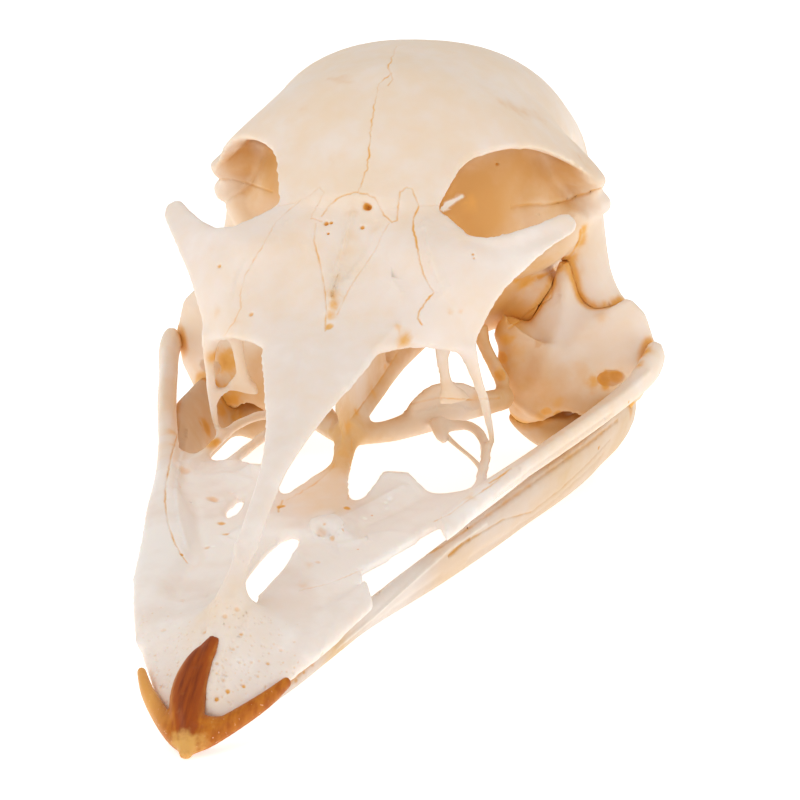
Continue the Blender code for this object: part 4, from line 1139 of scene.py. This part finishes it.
for colour, half_width, depth, size, points in SEAMS:
    last = None
    path = zigzag(points, size)
    knots = luck.uniform(0.45, 1.2, len(path) // FADE_EVERY + 3)
    strength = np.interp(np.arange(len(path)), np.arange(len(knots)) * FADE_EVERY, knots)
    for (u, v), share in zip(path, strength):
        seen = seen_at(u, v)
        if seen is None:
            last = None
            continue
        number, place, reach = seen
        between = [place]
        if last is not None and last[0] == number and (place - last[1]).length < SEAM_JUMP:
            count = int((place - last[1]).length / SEAM_GAP)
            between += [last[1].lerp(place, (i + 1) / (count + 1)) for i in range(count)]
        for spot in between:
            seam_marks[number].append((*spot, colour * share, half_width * MM * (0.5 + 0.4 * share),
                                       depth * MM))
        last = (number, place)
print(sum(len(marks) for marks in seam_marks), "marks along the seams")

# %% Leave the pits and stains
spot_marks = [[] for _ in PIECES]     # place, colour, radius, depth
POINT = 0.14                          # millimetres of bone across one point of the picture
for u, v, radius, colour, depth in SPOTS:
    seen = seen_at(u, v)
    if seen is not None:
        spot_marks[seen[0]].append((*seen[1], colour, radius * POINT * MM, depth * MM))

# Tiny pores in the bill, where the horn was fed
PORES = 420
PORE_ACROSS = (140, 300)              # the part of the picture that shows the bill's tip
PORE_DOWN = (596, 706)
PORE_LINE = -53                       # drawn y behind which the bill has no pores
for _ in range(PORES):
    u, v = luck.uniform(*PORE_ACROSS), luck.uniform(*PORE_DOWN)
    seen = seen_at(u, v)
    if seen is not None and seen[0] == 0 and (TO_DRAWING @ seen[1]).y < PORE_LINE - luck.uniform(0, 9):
        spot_marks[0].append((*seen[1], luck.uniform(0.1, 0.4), luck.uniform(0.9, 1.5) * POINT * MM,
                              luck.uniform(0.05, 0.12) * MM))
print(sum(len(marks) for marks in spot_marks), "pits, stains and pores")

# %% Follow the ridges
RIDGE_STEP = 4                        # picture points between two places of a ridge
ridge_lines = [[] for _ in PIECES]    # height, half-width, places
for height, half_width, points in RIDGES:
    rows = {}
    for (u0, v0), (u1, v1) in zip(points, points[1:]):
        count = max(1, round(math.hypot(u1 - u0, v1 - v0) / RIDGE_STEP))
        for step in range(count + 1):
            seen = seen_at(u0 + (u1 - u0) * step / count, v0 + (v1 - v0) * step / count)
            if seen is not None:
                rows.setdefault(seen[0], []).append(seen[1][:])
    for number, places in rows.items():
        if len(places) > 2:
            ridge_lines[number].append((height * MM, half_width * MM, np.array(places)))

for piece, seams, spots, ridges in zip(PIECES, seam_marks, spot_marks, ridge_lines):
    print(piece.name, len(seams), "seam marks,", len(spots), "spots,", len(ridges), "ridges")

# %% [markdown]
# ## Fine skin where the marks are
#
# A seam is a third of a millimetre wide and the skin's triangles are twice that. Only the edges
# near a mark are split, four times over, so the seams come out sharp and the rest stays light.

# %% Measure how near the marks are
def away_from_line(places, line):
    """Distance from each place to a row of places, joined where they are less than 3 mm apart."""
    away = np.full(len(places), 1.0)
    for a, b in zip(line, line[1:]):
        along = b - a
        length = np.linalg.norm(along)
        if length > 3 * MM:
            continue
        share = np.clip((places - a) @ along / max(length * length, 1e-12), 0, 1)
        away = np.minimum(away, np.linalg.norm(places - a - share[:, None] * along, axis=1))
    return away


def near_bones(middles, others, reach):
    """Which places lie within reach of another bone."""
    near = np.zeros(len(middles), bool)
    for bone in others:
        corners = np.array([corner[:] for corner in bone.bound_box])
        inside = np.all((middles > corners.min(0) - reach) & (middles < corners.max(0) + reach), axis=1)
        tree = tree_of(bone)
        for i in np.flatnonzero(inside & ~near):
            near[i] = tree.find_nearest(middles[i], reach)[0] is not None
    return near


def finder_of(marks):
    """Finds the nearest of these marks to a place."""
    finder = KDTree(max(len(marks), 1))
    for i, mark in enumerate(marks):
        finder.insert(mark[:3], i)
    finder.balance()
    return finder


test_line = [np.array((1, -1, 0)) * MM, np.array((1, 1, 0)) * MM]
print("the origin is", round(away_from_line(np.zeros((1, 3)), test_line)[0] / MM, 2), "mm off the line")

# %% Split the skin near the marks
FINEST = 0.2 * MM            # an edge this short isn't split for a seam or a pit
RIDGE_FINEST = 0.42 * MM     # the same for a ridge
JOINT_FINEST = 0.4 * MM      # the same where two bones meet
SEAM_ROOM = 0.22 * MM        # how far from a seam the skin is fine
JOINT_ROOM = 0.6 * MM        # how far from another bone it is


def drop_folds(mesh):
    """Two faces on the same three corners are a fold without thickness, and both go."""
    met = {}
    for face in mesh.faces:
        met.setdefault(frozenset(face.verts), []).append(face)
    folded = [face for faces in met.values() if len(faces) > 1 for face in faces]
    bmesh.ops.delete(mesh, geom=folded, context="FACES")


def refine(piece, seams, spots, ridges, others):
    """Splits the skin's edges near the piece's marks and near the other bones."""
    mesh = bmesh.new()
    mesh.from_mesh(piece.data)
    finder = finder_of(seams)
    pits = [spot for spot in spots if spot[5] > 0]
    for turn in range(4):
        middles = np.array([(a.co + b.co)[:] for a, b in (edge.verts for edge in mesh.edges)]) / 2
        lengths = np.array([edge.calc_length() for edge in mesh.edges])
        wanted = np.zeros(len(middles), bool)
        for x, y, z, colour, radius, depth in pits:
            away = np.linalg.norm(middles - (x, y, z), axis=1)
            wanted |= (away < radius * 1.7 + lengths / 2) & (lengths > max(FINEST, radius * 0.35))
        if turn < 2:
            for height, half_width, line in ridges:
                long_edge = lengths > max(RIDGE_FINEST, half_width * 0.6)
                wanted |= (away_from_line(middles, line) < half_width * 1.4) & long_edge
            if others:
                wanted |= near_bones(middles, others, JOINT_ROOM) & (lengths > JOINT_FINEST)
        if seams:
            for i in np.flatnonzero(~wanted & (lengths > FINEST)):
                wanted[i] = finder.find(middles[i])[2] < SEAM_ROOM + lengths[i] / 2
        edges = [edge for edge, split in zip(mesh.edges, wanted) if split]
        bmesh.ops.subdivide_edges(mesh, edges=edges, cuts=1)
        bmesh.ops.triangulate(mesh, faces=[face for face in mesh.faces if len(face.verts) > 3])
        drop_folds(mesh)
    mesh.to_mesh(piece.data)
    print(piece.name, "now has", len(mesh.faces), "triangles")
    mesh.free()


bpy.context.view_layer.update()
for number, piece in enumerate(PIECES[:4]):
    others = [bone for i, bone in enumerate(PIECES[:4]) if i != number]
    refine(piece, seam_marks[number], spot_marks[number], ridge_lines[number], others)

# %% [markdown]
# ## Press the seams and pits in
#
# Each corner of the skin moves inwards by the depth of the nearest seam, fading out over the
# seam's half-width, and by the depth of the pits that it lies in. The same closeness is kept as a
# number on the skin, and the bone finish turns it into colour.

# %% Read the skin and write on it
def places_of(piece):
    flat = np.empty(len(piece.data.vertices) * 3)
    piece.data.vertices.foreach_get("co", flat)
    return flat.reshape(-1, 3)


def normals_of(piece):
    flat = np.empty(len(piece.data.vertices) * 3)
    piece.data.vertex_normals.foreach_get("vector", flat)
    return flat.reshape(-1, 3)


def keep_on_skin(piece, name, values):
    layer = piece.data.attributes.new(name, "FLOAT", "POINT")
    layer.data.foreach_set("value", np.asarray(values, dtype=np.float32))


print("the skull's skin has", len(places_of(skull)), "corners")

# %% Carve
SEAM_REACH = 1.3 * MM        # beyond this a seam leaves nothing
CLOUD = 1.5 * MM             # size of the clouds that make the stains' outlines ragged


def carve(piece, seams, spots, ridges):
    """Presses the marks into the skin and gives back how stained each corner is, with the painted shade
    and painted light among the marks.
    """
    places = places_of(piece)
    inwards = -normals_of(piece)
    stain_and_painted_light = np.zeros(len(places))
    press = np.zeros(len(places))
    for height, half_width, line in ridges:
        press -= height * np.exp(-(away_from_line(places, line) / half_width) ** 2)
    if seams:
        finder = finder_of(seams)
        for i, place in enumerate(places):
            spot, which, away = finder.find(place)
            if away < SEAM_REACH:
                colour, half_width, depth = seams[which][3:]
                stain_and_painted_light[i] = colour * math.exp(-(away / (half_width * 1.15)) ** 2)
                press[i] = depth * math.exp(-(away / half_width) ** 2)
    ragged = np.array([fractal(Vector(place) / CLOUD, 1.0, 2.0, 3) for place in places])
    for x, y, z, colour, radius, depth in spots:
        away = np.linalg.norm(places - (x, y, z), axis=1)
        torn = away / radius * np.clip(1 + 0.5 * ragged * min(1, radius / (0.6 * MM)), 0.6, 1.6)
        tint = colour * (np.exp(-torn ** 4) if depth > 0 else np.exp(-torn ** 2))
        stain_and_painted_light = np.where(np.abs(tint) > np.abs(stain_and_painted_light), tint, stain_and_painted_light + tint * 0.3)
        press += depth * np.exp(-(away / radius) ** 2)
    places += inwards * press[:, None]
    piece.data.vertices.foreach_set("co", places.ravel())
    piece.data.update()
    return stain_and_painted_light


stains_and_painted_light = [carve(*row) for row in zip(PIECES, seam_marks, spot_marks, ridge_lines)]
print("deepest stain on the skull:", round(float(stains_and_painted_light[0].max()), 2))

# %% [markdown]
# ## Where the joints are
#
# Gristle dries to a bright orange, and it stays longest where two bones meet. Each corner that
# lies close to another bone takes that colour. Between bone and horn there's none.

# %% Stain the joints
trees = [tree_of(piece) for piece in PIECES]
JOINT_REACH = 1.5 * MM       # how far from the other bone the gristle's colour starts
JOINT_GAIN = 1.3             # how fast it comes in
JOINT_STAIN = 0.75           # and its full strength
for number, piece in enumerate(PIECES[:4]):
    others = [tree for i, tree in enumerate(trees[:4]) if i != number]
    places = places_of(piece)
    joint = np.zeros(len(places))
    for other in others:
        for i, place in enumerate(places):
            found = other.find_nearest(place, JOINT_REACH)
            if found[0] is not None:
                joint[i] = max(joint[i], 1 - found[3] / JOINT_REACH)
    stain_light_and_joints = np.maximum(stains_and_painted_light[number], np.minimum(joint * JOINT_GAIN, JOINT_STAIN))
    stains_and_painted_light[number] = np.where(joint > 0.1, stain_light_and_joints, stains_and_painted_light[number])
    print(piece.name, "has", int((joint > 0).sum()), "corners in a joint")

# %% [markdown]
# ## Painted shade in the hollows
#
# The eye sockets and the inside of the cheeks are much warmer than the brow, because light bounces
# between their walls and fat was left there. That bounce light and shade are painted into the bone's
# colour here: from a sample of corners, rays are sent out to see how soon they meet bone, and every
# other corner takes the value of its nearest samples.

# %% Rays to every side
GOLDEN_ANGLE = 2.39996       # from one ray to the next, which spreads them evenly


def outward_rays(count):
    """Directions over the upper half of a ball, more of them near its pole."""
    rays = []
    for i in range(count):
        height = math.sqrt((i + 0.5) / count)
        angle = i * GOLDEN_ANGLE
        flat = math.sqrt(1 - height * height)
        rays.append(Vector((flat * math.cos(angle), flat * math.sin(angle), height)))
    return rays


RAYS = outward_rays(30)
print(len(RAYS), "rays from each place")

# %% Measure the painted shade of the hollows
SHADE_REACH = 26 * MM       # bone farther off than this doesn't count
START_OFF = 0.06 * MM        # the rays start this far off the skin
whole = bmesh.new()
for piece in PIECES:
    whole.from_mesh(piece.data)
whole_tree = BVHTree.FromBMesh(whole)
whole.free()


def painted_shade_at(place, normal):
    """Painted shade at a place: 0 on open bone, towards 1 where bone closes it in."""
    frame_of_place = normal.to_track_quat("Z", "Y")
    start = place + normal * START_OFF
    blocked = 0.0
    for ray in RAYS:
        met = whole_tree.ray_cast(start, frame_of_place @ ray, SHADE_REACH)
        if met[0] is not None:
            blocked += 1 - (met[3] / SHADE_REACH) ** 2
    return blocked / len(RAYS)


def painted_shade_of(piece, samples):
    """How much painted shade each corner gets from how deep in a hollow it lies, blended from a random
    sample of corners.
    """
    places = places_of(piece)
    normals = normals_of(piece)
    chosen = luck.choice(len(places), min(samples, len(places)), replace=False)
    values = np.array([painted_shade_at(Vector(places[i]), Vector(normals[i])) for i in chosen])
    finder = finder_of(places[chosen])
    chosen_normals = normals[chosen]
    result = np.empty(len(places))
    for i, (place, normal) in enumerate(zip(places, normals)):
        total = weights = 0.0
        for spot, order, away in finder.find_n(place, 5):
            agree = max(float(normal @ chosen_normals[order]), 0.02)
            weight = agree ** 2 / (away + 0.2 * MM)
            total += weight * values[order]
            weights += weight
        result[i] = total / weights
    return result


SAMPLES = (6000, 1500, 1200, 2500, 600)
painted_shade_values = []
for piece, samples in zip(PIECES, SAMPLES):
    painted_shade_values.append(painted_shade_of(piece, samples))
    print(piece.name, "hollow from", round(float(painted_shade_values[-1].min()), 2),
          "to", round(float(painted_shade_values[-1].max()), 2))

# %% [markdown]
# ## Warm and cool bone
#
# The brow and the back of the head are a warm cream, the face and the bill a cooler, pinkish
# white, and the palate bars, the quadrates and the jaw the colour of straw. A few anchors carry
# that, and every corner blends the nearest of them. Their tan is partly painted shade in the eye
# sockets, and their low warmth and tan on the palate shelves and low tan on the quadrates are
# painted light. The painted shade of the hollows deepens the tan.

# %% Blend the warmth
# The tan column is partly painted shade: its high values in the eye sockets and the cheeks stand in for
# the shade and warm bounce light there as well as fat. The low warmth and tan of the palate shelves and
# the low tan of the quadrates are painted light, which brightens bone that lies in shade.
ANCHORS = [    # distance from the midline, y, z in drawn millimetres, warmth, tan
    (0, 30, 62, 0.36, 0.0), (16, 24, 56, 0.34, 0.0), (0, 14, 54, 0.42, 0.0), (22, 45, 52, 0.36, 0.0),
    (0, 60, 55, 0.35, 0.0), (0, 75, 35, 0.45, 0.1), (12, 8, 48, 0.28, 0.0), (24, 8, 46, 0.08, 0.0),
    (28, 14, 47, 0.20, 0.0), (6, 0, 43, 0.30, 0.0), (14, -4, 41, 0.20, 0.0), (19, -2, 37, 0.25, 0.0),
    (0, -14, 36, 0.16, 0.0), (0, -40, 27, 0.10, 0.0), (0, -62, 18, 0.22, 0.0),
    (25, 30, 53, 0.36, 0.0), (20, 38, 57, 0.36, 0.0), (15, 34, 61, 0.36, 0.0),
    (24, 37, 52, 0.36, 0.0), (23, 50, 50, 0.36, 0.0), (28, 33, 50, 0.36, 0.05),
    # painted light: low warmth and tan brighten the palate shelves
    (11, -60, 14, 0.0, -0.05), (15, -40, 16, -0.25, -0.30), (8, -30, 16, -0.3, -0.30),
    (18, -18, 17, -0.25, -0.30), (12, -12, 18, -0.3, -0.30), (12, -50, 16, -0.1, -0.12),
    (26, -4, 17, 0.30, 0.0), (36, 28, 20, 0.30, 0.0), (0, -4, 19, 0.90, 0.42), (0, -18, 16.5, 0.35, 0.08),
    (9, 12, 18, 0.50, 0.0), (16, 22, 16, 0.7, 0.35), (0, 10, 21, 0.85, 0.4), (0, 4, 28, 0.45, 0.0),
    (20, -1, 25, 0.25, 0.0), (15, -1, 27, 0.50, 0.1), (20, 2, 17, 0.5, 0.1), (24, 33, 24, 0.28, 0.0),
    (33, 33, 22, 0.30, 0.0), (16, 31, 21, 0.7, 0.3), (19, 28, 16.5, 0.6, 0.45), (14, 32, 24, 0.8, 0.6),
    # painted light: the quadrate's low tan brightens it; the sockets' high tan on the next lines is
    # partly painted shade
    (28, 34, 30, 0.30, -0.12), (24, 34, 32, 0.5, 0.08), (26, 37, 36, 0.4, 0.0), (29, 35, 44, 0.35, 0.2),
    (18, 31, 47, 0.7, 0.62), (13, 27, 44, 0.8, 0.85), (21, 31, 41, 0.6, 0.40), (25, 34, 48, 0.6, 0.55),
    (10, 30, 35, 0.9, 0.75), (20, 32, 36, 0.7, 0.45), (4, 20, 40, 0.7, 0.6), (6, 16, 32, 0.7, 0.5),
    (11, -52, 9, 0.80, 0.12), (18, -20, 9, 0.60, 0.10), (26, 5, 9, 0.60, 0.12), (30, 30, 8, 0.75, 0.20),
    (22, 32, 8, 0.7, 0.35), (27, 48, 4, 0.5, 0.1),
]
# how much the painted shade of a hollow adds to the tan
SHADE_SHARE = 0.36          # how much a hollow adds to the tan
anchor_places = np.array([anchor[:3] for anchor in ANCHORS], float)
anchor_values = np.array([anchor[3:] for anchor in ANCHORS])
to_drawing = np.array(TO_DRAWING)


def drawn_places(piece):
    places = places_of(piece)
    return places @ to_drawing[:3, :3].T + to_drawing[:3, 3]


def blended(piece):
    """Warmth and tan at each corner of the skin."""
    drawn = drawn_places(piece)
    drawn[:, 0] = np.abs(drawn[:, 0])
    total = np.zeros((len(drawn), 2))
    weights = np.zeros(len(drawn))
    for anchor, values in zip(anchor_places, anchor_values):
        weight = 1 / (np.sum((drawn - anchor) ** 2, axis=1) + 3) ** 2
        total += weight[:, None] * values
        weights += weight
    return total / weights[:, None]


for piece, stain_and_painted_light, tan_and_painted_shade in zip(PIECES, stains_and_painted_light, painted_shade_values):
    warmth_and_painted_light, anchor_tan_and_painted_light = blended(piece).T
    keep_on_skin(piece, "stain_and_painted_light", stain_and_painted_light)
    # painted shade: the anchors' tan with the painted shade of the hollows, which the bone finish turns
    # into socket tan and orange
    keep_on_skin(piece, "tan_and_painted_shade", anchor_tan_and_painted_light + SHADE_SHARE * tan_and_painted_shade)
    keep_on_skin(piece, "warmth_and_painted_light", warmth_and_painted_light)
    print(piece.name, "is", round(float(warmth_and_painted_light.mean()), 2), "warm on average")

# %% [markdown]
# ## Bone
#
# Dry, degreased bone is calcium phosphate in a net of collagen. It's pale cream, a little
# see-through where it's thin, and satin to the touch. Its colour deepens from cream over straw to
# orange with the warmth, the painted shade of the hollows and the stain that the skin carries. Part
# of that stain is painted shade in recesses and one spot of painted light, and the jaw's copy is
# darkened all over as painted shade.

# %% Helpers for the finishes
def skin_value(tree, name):
    return add_node(tree, "ShaderNodeAttribute", {"attribute_name": name}).outputs["Fac"]


def calc(tree, operation, a, b):
    """One step of arithmetic. Each side is a number or another node's output."""
    node = tree.nodes.new("ShaderNodeMath")
    node.operation = operation
    for socket, value in zip(node.inputs, (a, b)):
        if isinstance(value, (int, float)):
            socket.default_value = value
        else:
            tree.links.new(value, socket)
    return node.outputs[0]


def ease(tree, value, low, high):
    """0 below low, 1 above high, with a soft start and end."""
    node = add_node(tree, "ShaderNodeMapRange", {"interpolation_type": "SMOOTHSTEP"},
                    {"Value": value}, From_Min=low, From_Max=high)
    return node.outputs["Result"]


def blend(tree, share, first, second, kind="MIX"):
    """Mixes two colours, each a hex code or another node's output."""
    node = tree.nodes.new("ShaderNodeMix")
    node.data_type = "RGBA"
    node.blend_type = kind
    colour_inputs = [socket for socket in node.inputs if socket.type == "RGBA"]
    for socket, value in zip(colour_inputs, (first, second)):
        if isinstance(value, str):
            socket.default_value = linear(value)
        else:
            tree.links.new(value, socket)
    factor = node.inputs[0]
    if isinstance(share, (int, float)):
        factor.default_value = share
    else:
        tree.links.new(share, factor)
    return [socket for socket in node.outputs if socket.type == "RGBA"][0]


def noise(tree, millimetres, detail=3.0, stretch=None):
    """Cloudy noise with patches of this size, from -0.5 to 0.5."""
    source = add_node(tree, "ShaderNodeTexCoord").outputs["Object"]
    if stretch:
        mapping = add_node(tree, "ShaderNodeMapping", links={"Vector": source}, Scale=stretch)
        source = mapping.outputs["Vector"]
    node = add_node(tree, "ShaderNodeTexNoise", links={"Vector": source},
                    Scale=1000 / millimetres, Detail=detail)
    return calc(tree, "SUBTRACT", node.outputs["Fac"], 0.5)


# %% Bone finish
CHALK_AND_LIGHT, PALE_BONE, CREAM, WARM_CREAM, STRAW = "#FFFBF5", "#F9F1EB", "#F1E4DA", "#F0D9BF", "#EBC98E"
SOCKET_TAN_AND_SHADE, SOCKET_ORANGE_AND_SHADE = "#DEA558", "#D98F26"
COLLAGEN_AND_SHADE, OLD_COLLAGEN_AND_SHADE = "#EBB056", "#D68A26"


def bone_finish(name, roughness, painted_shade_tint="#FFFFFF"):
    """Bone that reads its warmth, painted hollow shade and stain from the skin, darkened all over by a
    painted shade tint.
    """
    bone = bpy.data.materials.new(name)
    bone.use_nodes = True
    tree = bone.node_tree
    shader = tree.nodes["Principled BSDF"]
    warmth_and_painted_light = skin_value(tree, "warmth_and_painted_light")
    tan_and_painted_shade = skin_value(tree, "tan_and_painted_shade")
    stain_and_painted_light = skin_value(tree, "stain_and_painted_light")

    clouds = noise(tree, 9.0)
    patches = noise(tree, 2.2, 4.0)
    mottled = calc(tree, "ADD", warmth_and_painted_light, calc(tree, "MULTIPLY", clouds, 0.7))
    mottled = calc(tree, "ADD", mottled, calc(tree, "MULTIPLY", patches, 0.35))
    colour = blend(tree, ease(tree, mottled, -0.25, 0.15), PALE_BONE, CREAM)
    colour = blend(tree, ease(tree, mottled, 0.05, 0.6), colour, WARM_CREAM)
    colour = blend(tree, ease(tree, mottled, 0.5, 1.1), colour, STRAW)

    # painted shade: the hollows and sockets are tinted tan and then orange
    deep = calc(tree, "ADD", tan_and_painted_shade, calc(tree, "MULTIPLY", patches, 0.2))
    colour = blend(tree, ease(tree, deep, 0.10, 0.85), colour, SOCKET_TAN_AND_SHADE)
    colour = blend(tree, ease(tree, deep, 0.85, 1.3), colour, SOCKET_ORANGE_AND_SHADE)

    # stains and collagen, with painted shade in some recesses; below zero, paler bone and a spot of
    # painted light
    patchy = calc(tree, "ADD", calc(tree, "MULTIPLY", patches, 1.3), 1.0)
    patchy_stain_and_light = calc(tree, "MULTIPLY", stain_and_painted_light, patchy)
    colour = blend(tree, ease(tree, patchy_stain_and_light, 0.02, 0.95), colour, COLLAGEN_AND_SHADE)
    colour = blend(tree, ease(tree, patchy_stain_and_light, 0.8, 1.7), colour, OLD_COLLAGEN_AND_SHADE)
    pale_and_lit = calc(tree, "MULTIPLY", stain_and_painted_light, -1.0)
    colour = blend(tree, ease(tree, pale_and_lit, 0.0, 1.0), colour, CHALK_AND_LIGHT)
    # painted shade: the whole finish is darkened by this tint
    colour = blend(tree, 1.0, colour, painted_shade_tint, "MULTIPLY")

    tree.links.new(colour, shader.inputs["Base Color"])
    shader.inputs["Roughness"].default_value = roughness
    shader.inputs["IOR"].default_value = 1.5
    shader.inputs["Subsurface Weight"].default_value = 0.25
    shader.inputs["Subsurface Radius"].default_value = (1.0, 0.72, 0.45)
    shader.inputs["Subsurface Scale"].default_value = 1.2 * MM
    grain = add_node(tree, "ShaderNodeBump", links={"Height": noise(tree, 0.7, 4.0)},
                     Strength=0.35, Distance=0.06 * MM)
    tree.links.new(grain.outputs["Normal"], shader.inputs["Normal"])
    return bone


bone = bone_finish("dry skull bone", 0.46)
joint_bone = bone_finish("dry quadrate bone", 0.42)
# the jaw's copy of the bone is darkened all over as painted shade
jaw_bone = bone_finish("dry jaw bone", 0.44, "#E6E0DA")
print("bone finishes:", len(bpy.data.materials))

# %% [markdown]
# ## Horn
#
# The horn that's left is keratin, the stuff of fingernails: dark brown down the middle of the
# nail, in lengthwise streaks, amber where it thins out at the sides and yellow at its worn tip.

# %% Measure the horn
CORE = [        # y, middle and half-width of the nail's dark core
    (-79.5, 0, 0.8), (-77, -0.3, 1.5), (-74.6, -1.0, 2.0), (-71, -1.5, 2.0), (-67.6, -1.2, 1.6),
    (-64.4, -0.2, 0.8),
]
CORE_FOOT = [(-79, 6.6), (-72, 10.4), (-64, 13.5)]     # y and height above which the core shows
WORN_FROM = -76.9        # in front of this y the tip is worn
THIN_FROM = -2.5         # beyond this x the right wing is thin
across, along, height = drawn_places(beak_sheath).T
core_y, core_middle, core_half = np.array(CORE).T
foot_y, foot_height = np.array(CORE_FOOT).T
off_middle = (across - np.interp(along, core_y, core_middle)) / np.interp(along, core_y, core_half)
core = np.exp(-off_middle ** 4) * np.clip(height - np.interp(along, foot_y, foot_height), 0, 1)
keep_on_skin(beak_sheath, "core", core)
keep_on_skin(beak_sheath, "worn", np.clip((WORN_FROM - along) / 2.2, 0, 1))
keep_on_skin(beak_sheath, "thin", np.clip((THIN_FROM - across) / 4, 0, 1))
print("dark core on", int((core > 0.5).sum()), "corners of", len(core))

# %% Horn finish
AMBER, BRIGHT_AMBER, THIN_AMBER = "#A9560A", "#C2731C", "#E0A050"
BROWN, DARK_BROWN = "#A04A08", "#7A3006"
WORN_YELLOW, SCRATCHED = "#D9A458", "#E9B48A"
horn = bpy.data.materials.new("dry keratin")
horn.use_nodes = True
tree = horn.node_tree
shader = tree.nodes["Principled BSDF"]
streaks = noise(tree, 0.55, 3.0, (1.0, 0.09, 0.25))
blotches = noise(tree, 1.6, 3.0)
dark = calc(tree, "ADD", skin_value(tree, "core"), calc(tree, "MULTIPLY", streaks, 0.9))
colour = blend(tree, ease(tree, calc(tree, "ADD", blotches, streaks), -0.35, 0.3), AMBER, BRIGHT_AMBER)
colour = blend(tree, skin_value(tree, "thin"), colour, THIN_AMBER)
colour = blend(tree, ease(tree, dark, 0.25, 0.75), colour, BROWN)
colour = blend(tree, ease(tree, dark, 0.75, 1.25), colour, DARK_BROWN)
tip = calc(tree, "ADD", skin_value(tree, "worn"), calc(tree, "MULTIPLY", blotches, 1.6))
colour = blend(tree, ease(tree, tip, 0.2, 1.0), colour, WORN_YELLOW)
off_core = calc(tree, "SUBTRACT", 1.0, skin_value(tree, "core"))
flecks = calc(tree, "MULTIPLY", noise(tree, 0.5, 2.0), off_core)
colour = blend(tree, ease(tree, flecks, 0.16, 0.24), colour, SCRATCHED)
tree.links.new(colour, shader.inputs["Base Color"])
shader.inputs["Roughness"].default_value = 0.4
shader.inputs["IOR"].default_value = 1.54
shader.inputs["Specular IOR Level"].default_value = 0.2
shader.inputs["Subsurface Weight"].default_value = 0.15
shader.inputs["Subsurface Radius"].default_value = (1.0, 0.4, 0.1)
shader.inputs["Subsurface Scale"].default_value = 0.8 * MM
grain = add_node(tree, "ShaderNodeBump", links={"Height": streaks}, Strength=0.5, Distance=0.08 * MM)
tree.links.new(grain.outputs["Normal"], shader.inputs["Normal"])

for piece, finish in zip(PIECES, (bone, joint_bone, joint_bone, jaw_bone, horn)):
    piece.data.materials.clear()
    piece.data.materials.append(finish)
print("the horn's finish has", len(tree.nodes), "nodes")

# %% [markdown]
# ## Put every piece in its place
#
# Each grown bone stands for its imported node, which is hidden, and is hung under the root body.

# %% Hand the pieces over
for piece, node, slot in ((skull, "skull", "skull_bone"),
                          (left_quadrate, "left_quadrate", "quadrate_bone"),
                          (right_quadrate, "right_quadrate", "quadrate_bone"),
                          (lower_jaw, "lower_jaw", "jaw_bone"),
                          (beak_sheath, "beak_sheath", "horn")):
    for face in piece.data.polygons:
        face.use_smooth = True
    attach(piece, "root")
    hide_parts(node)
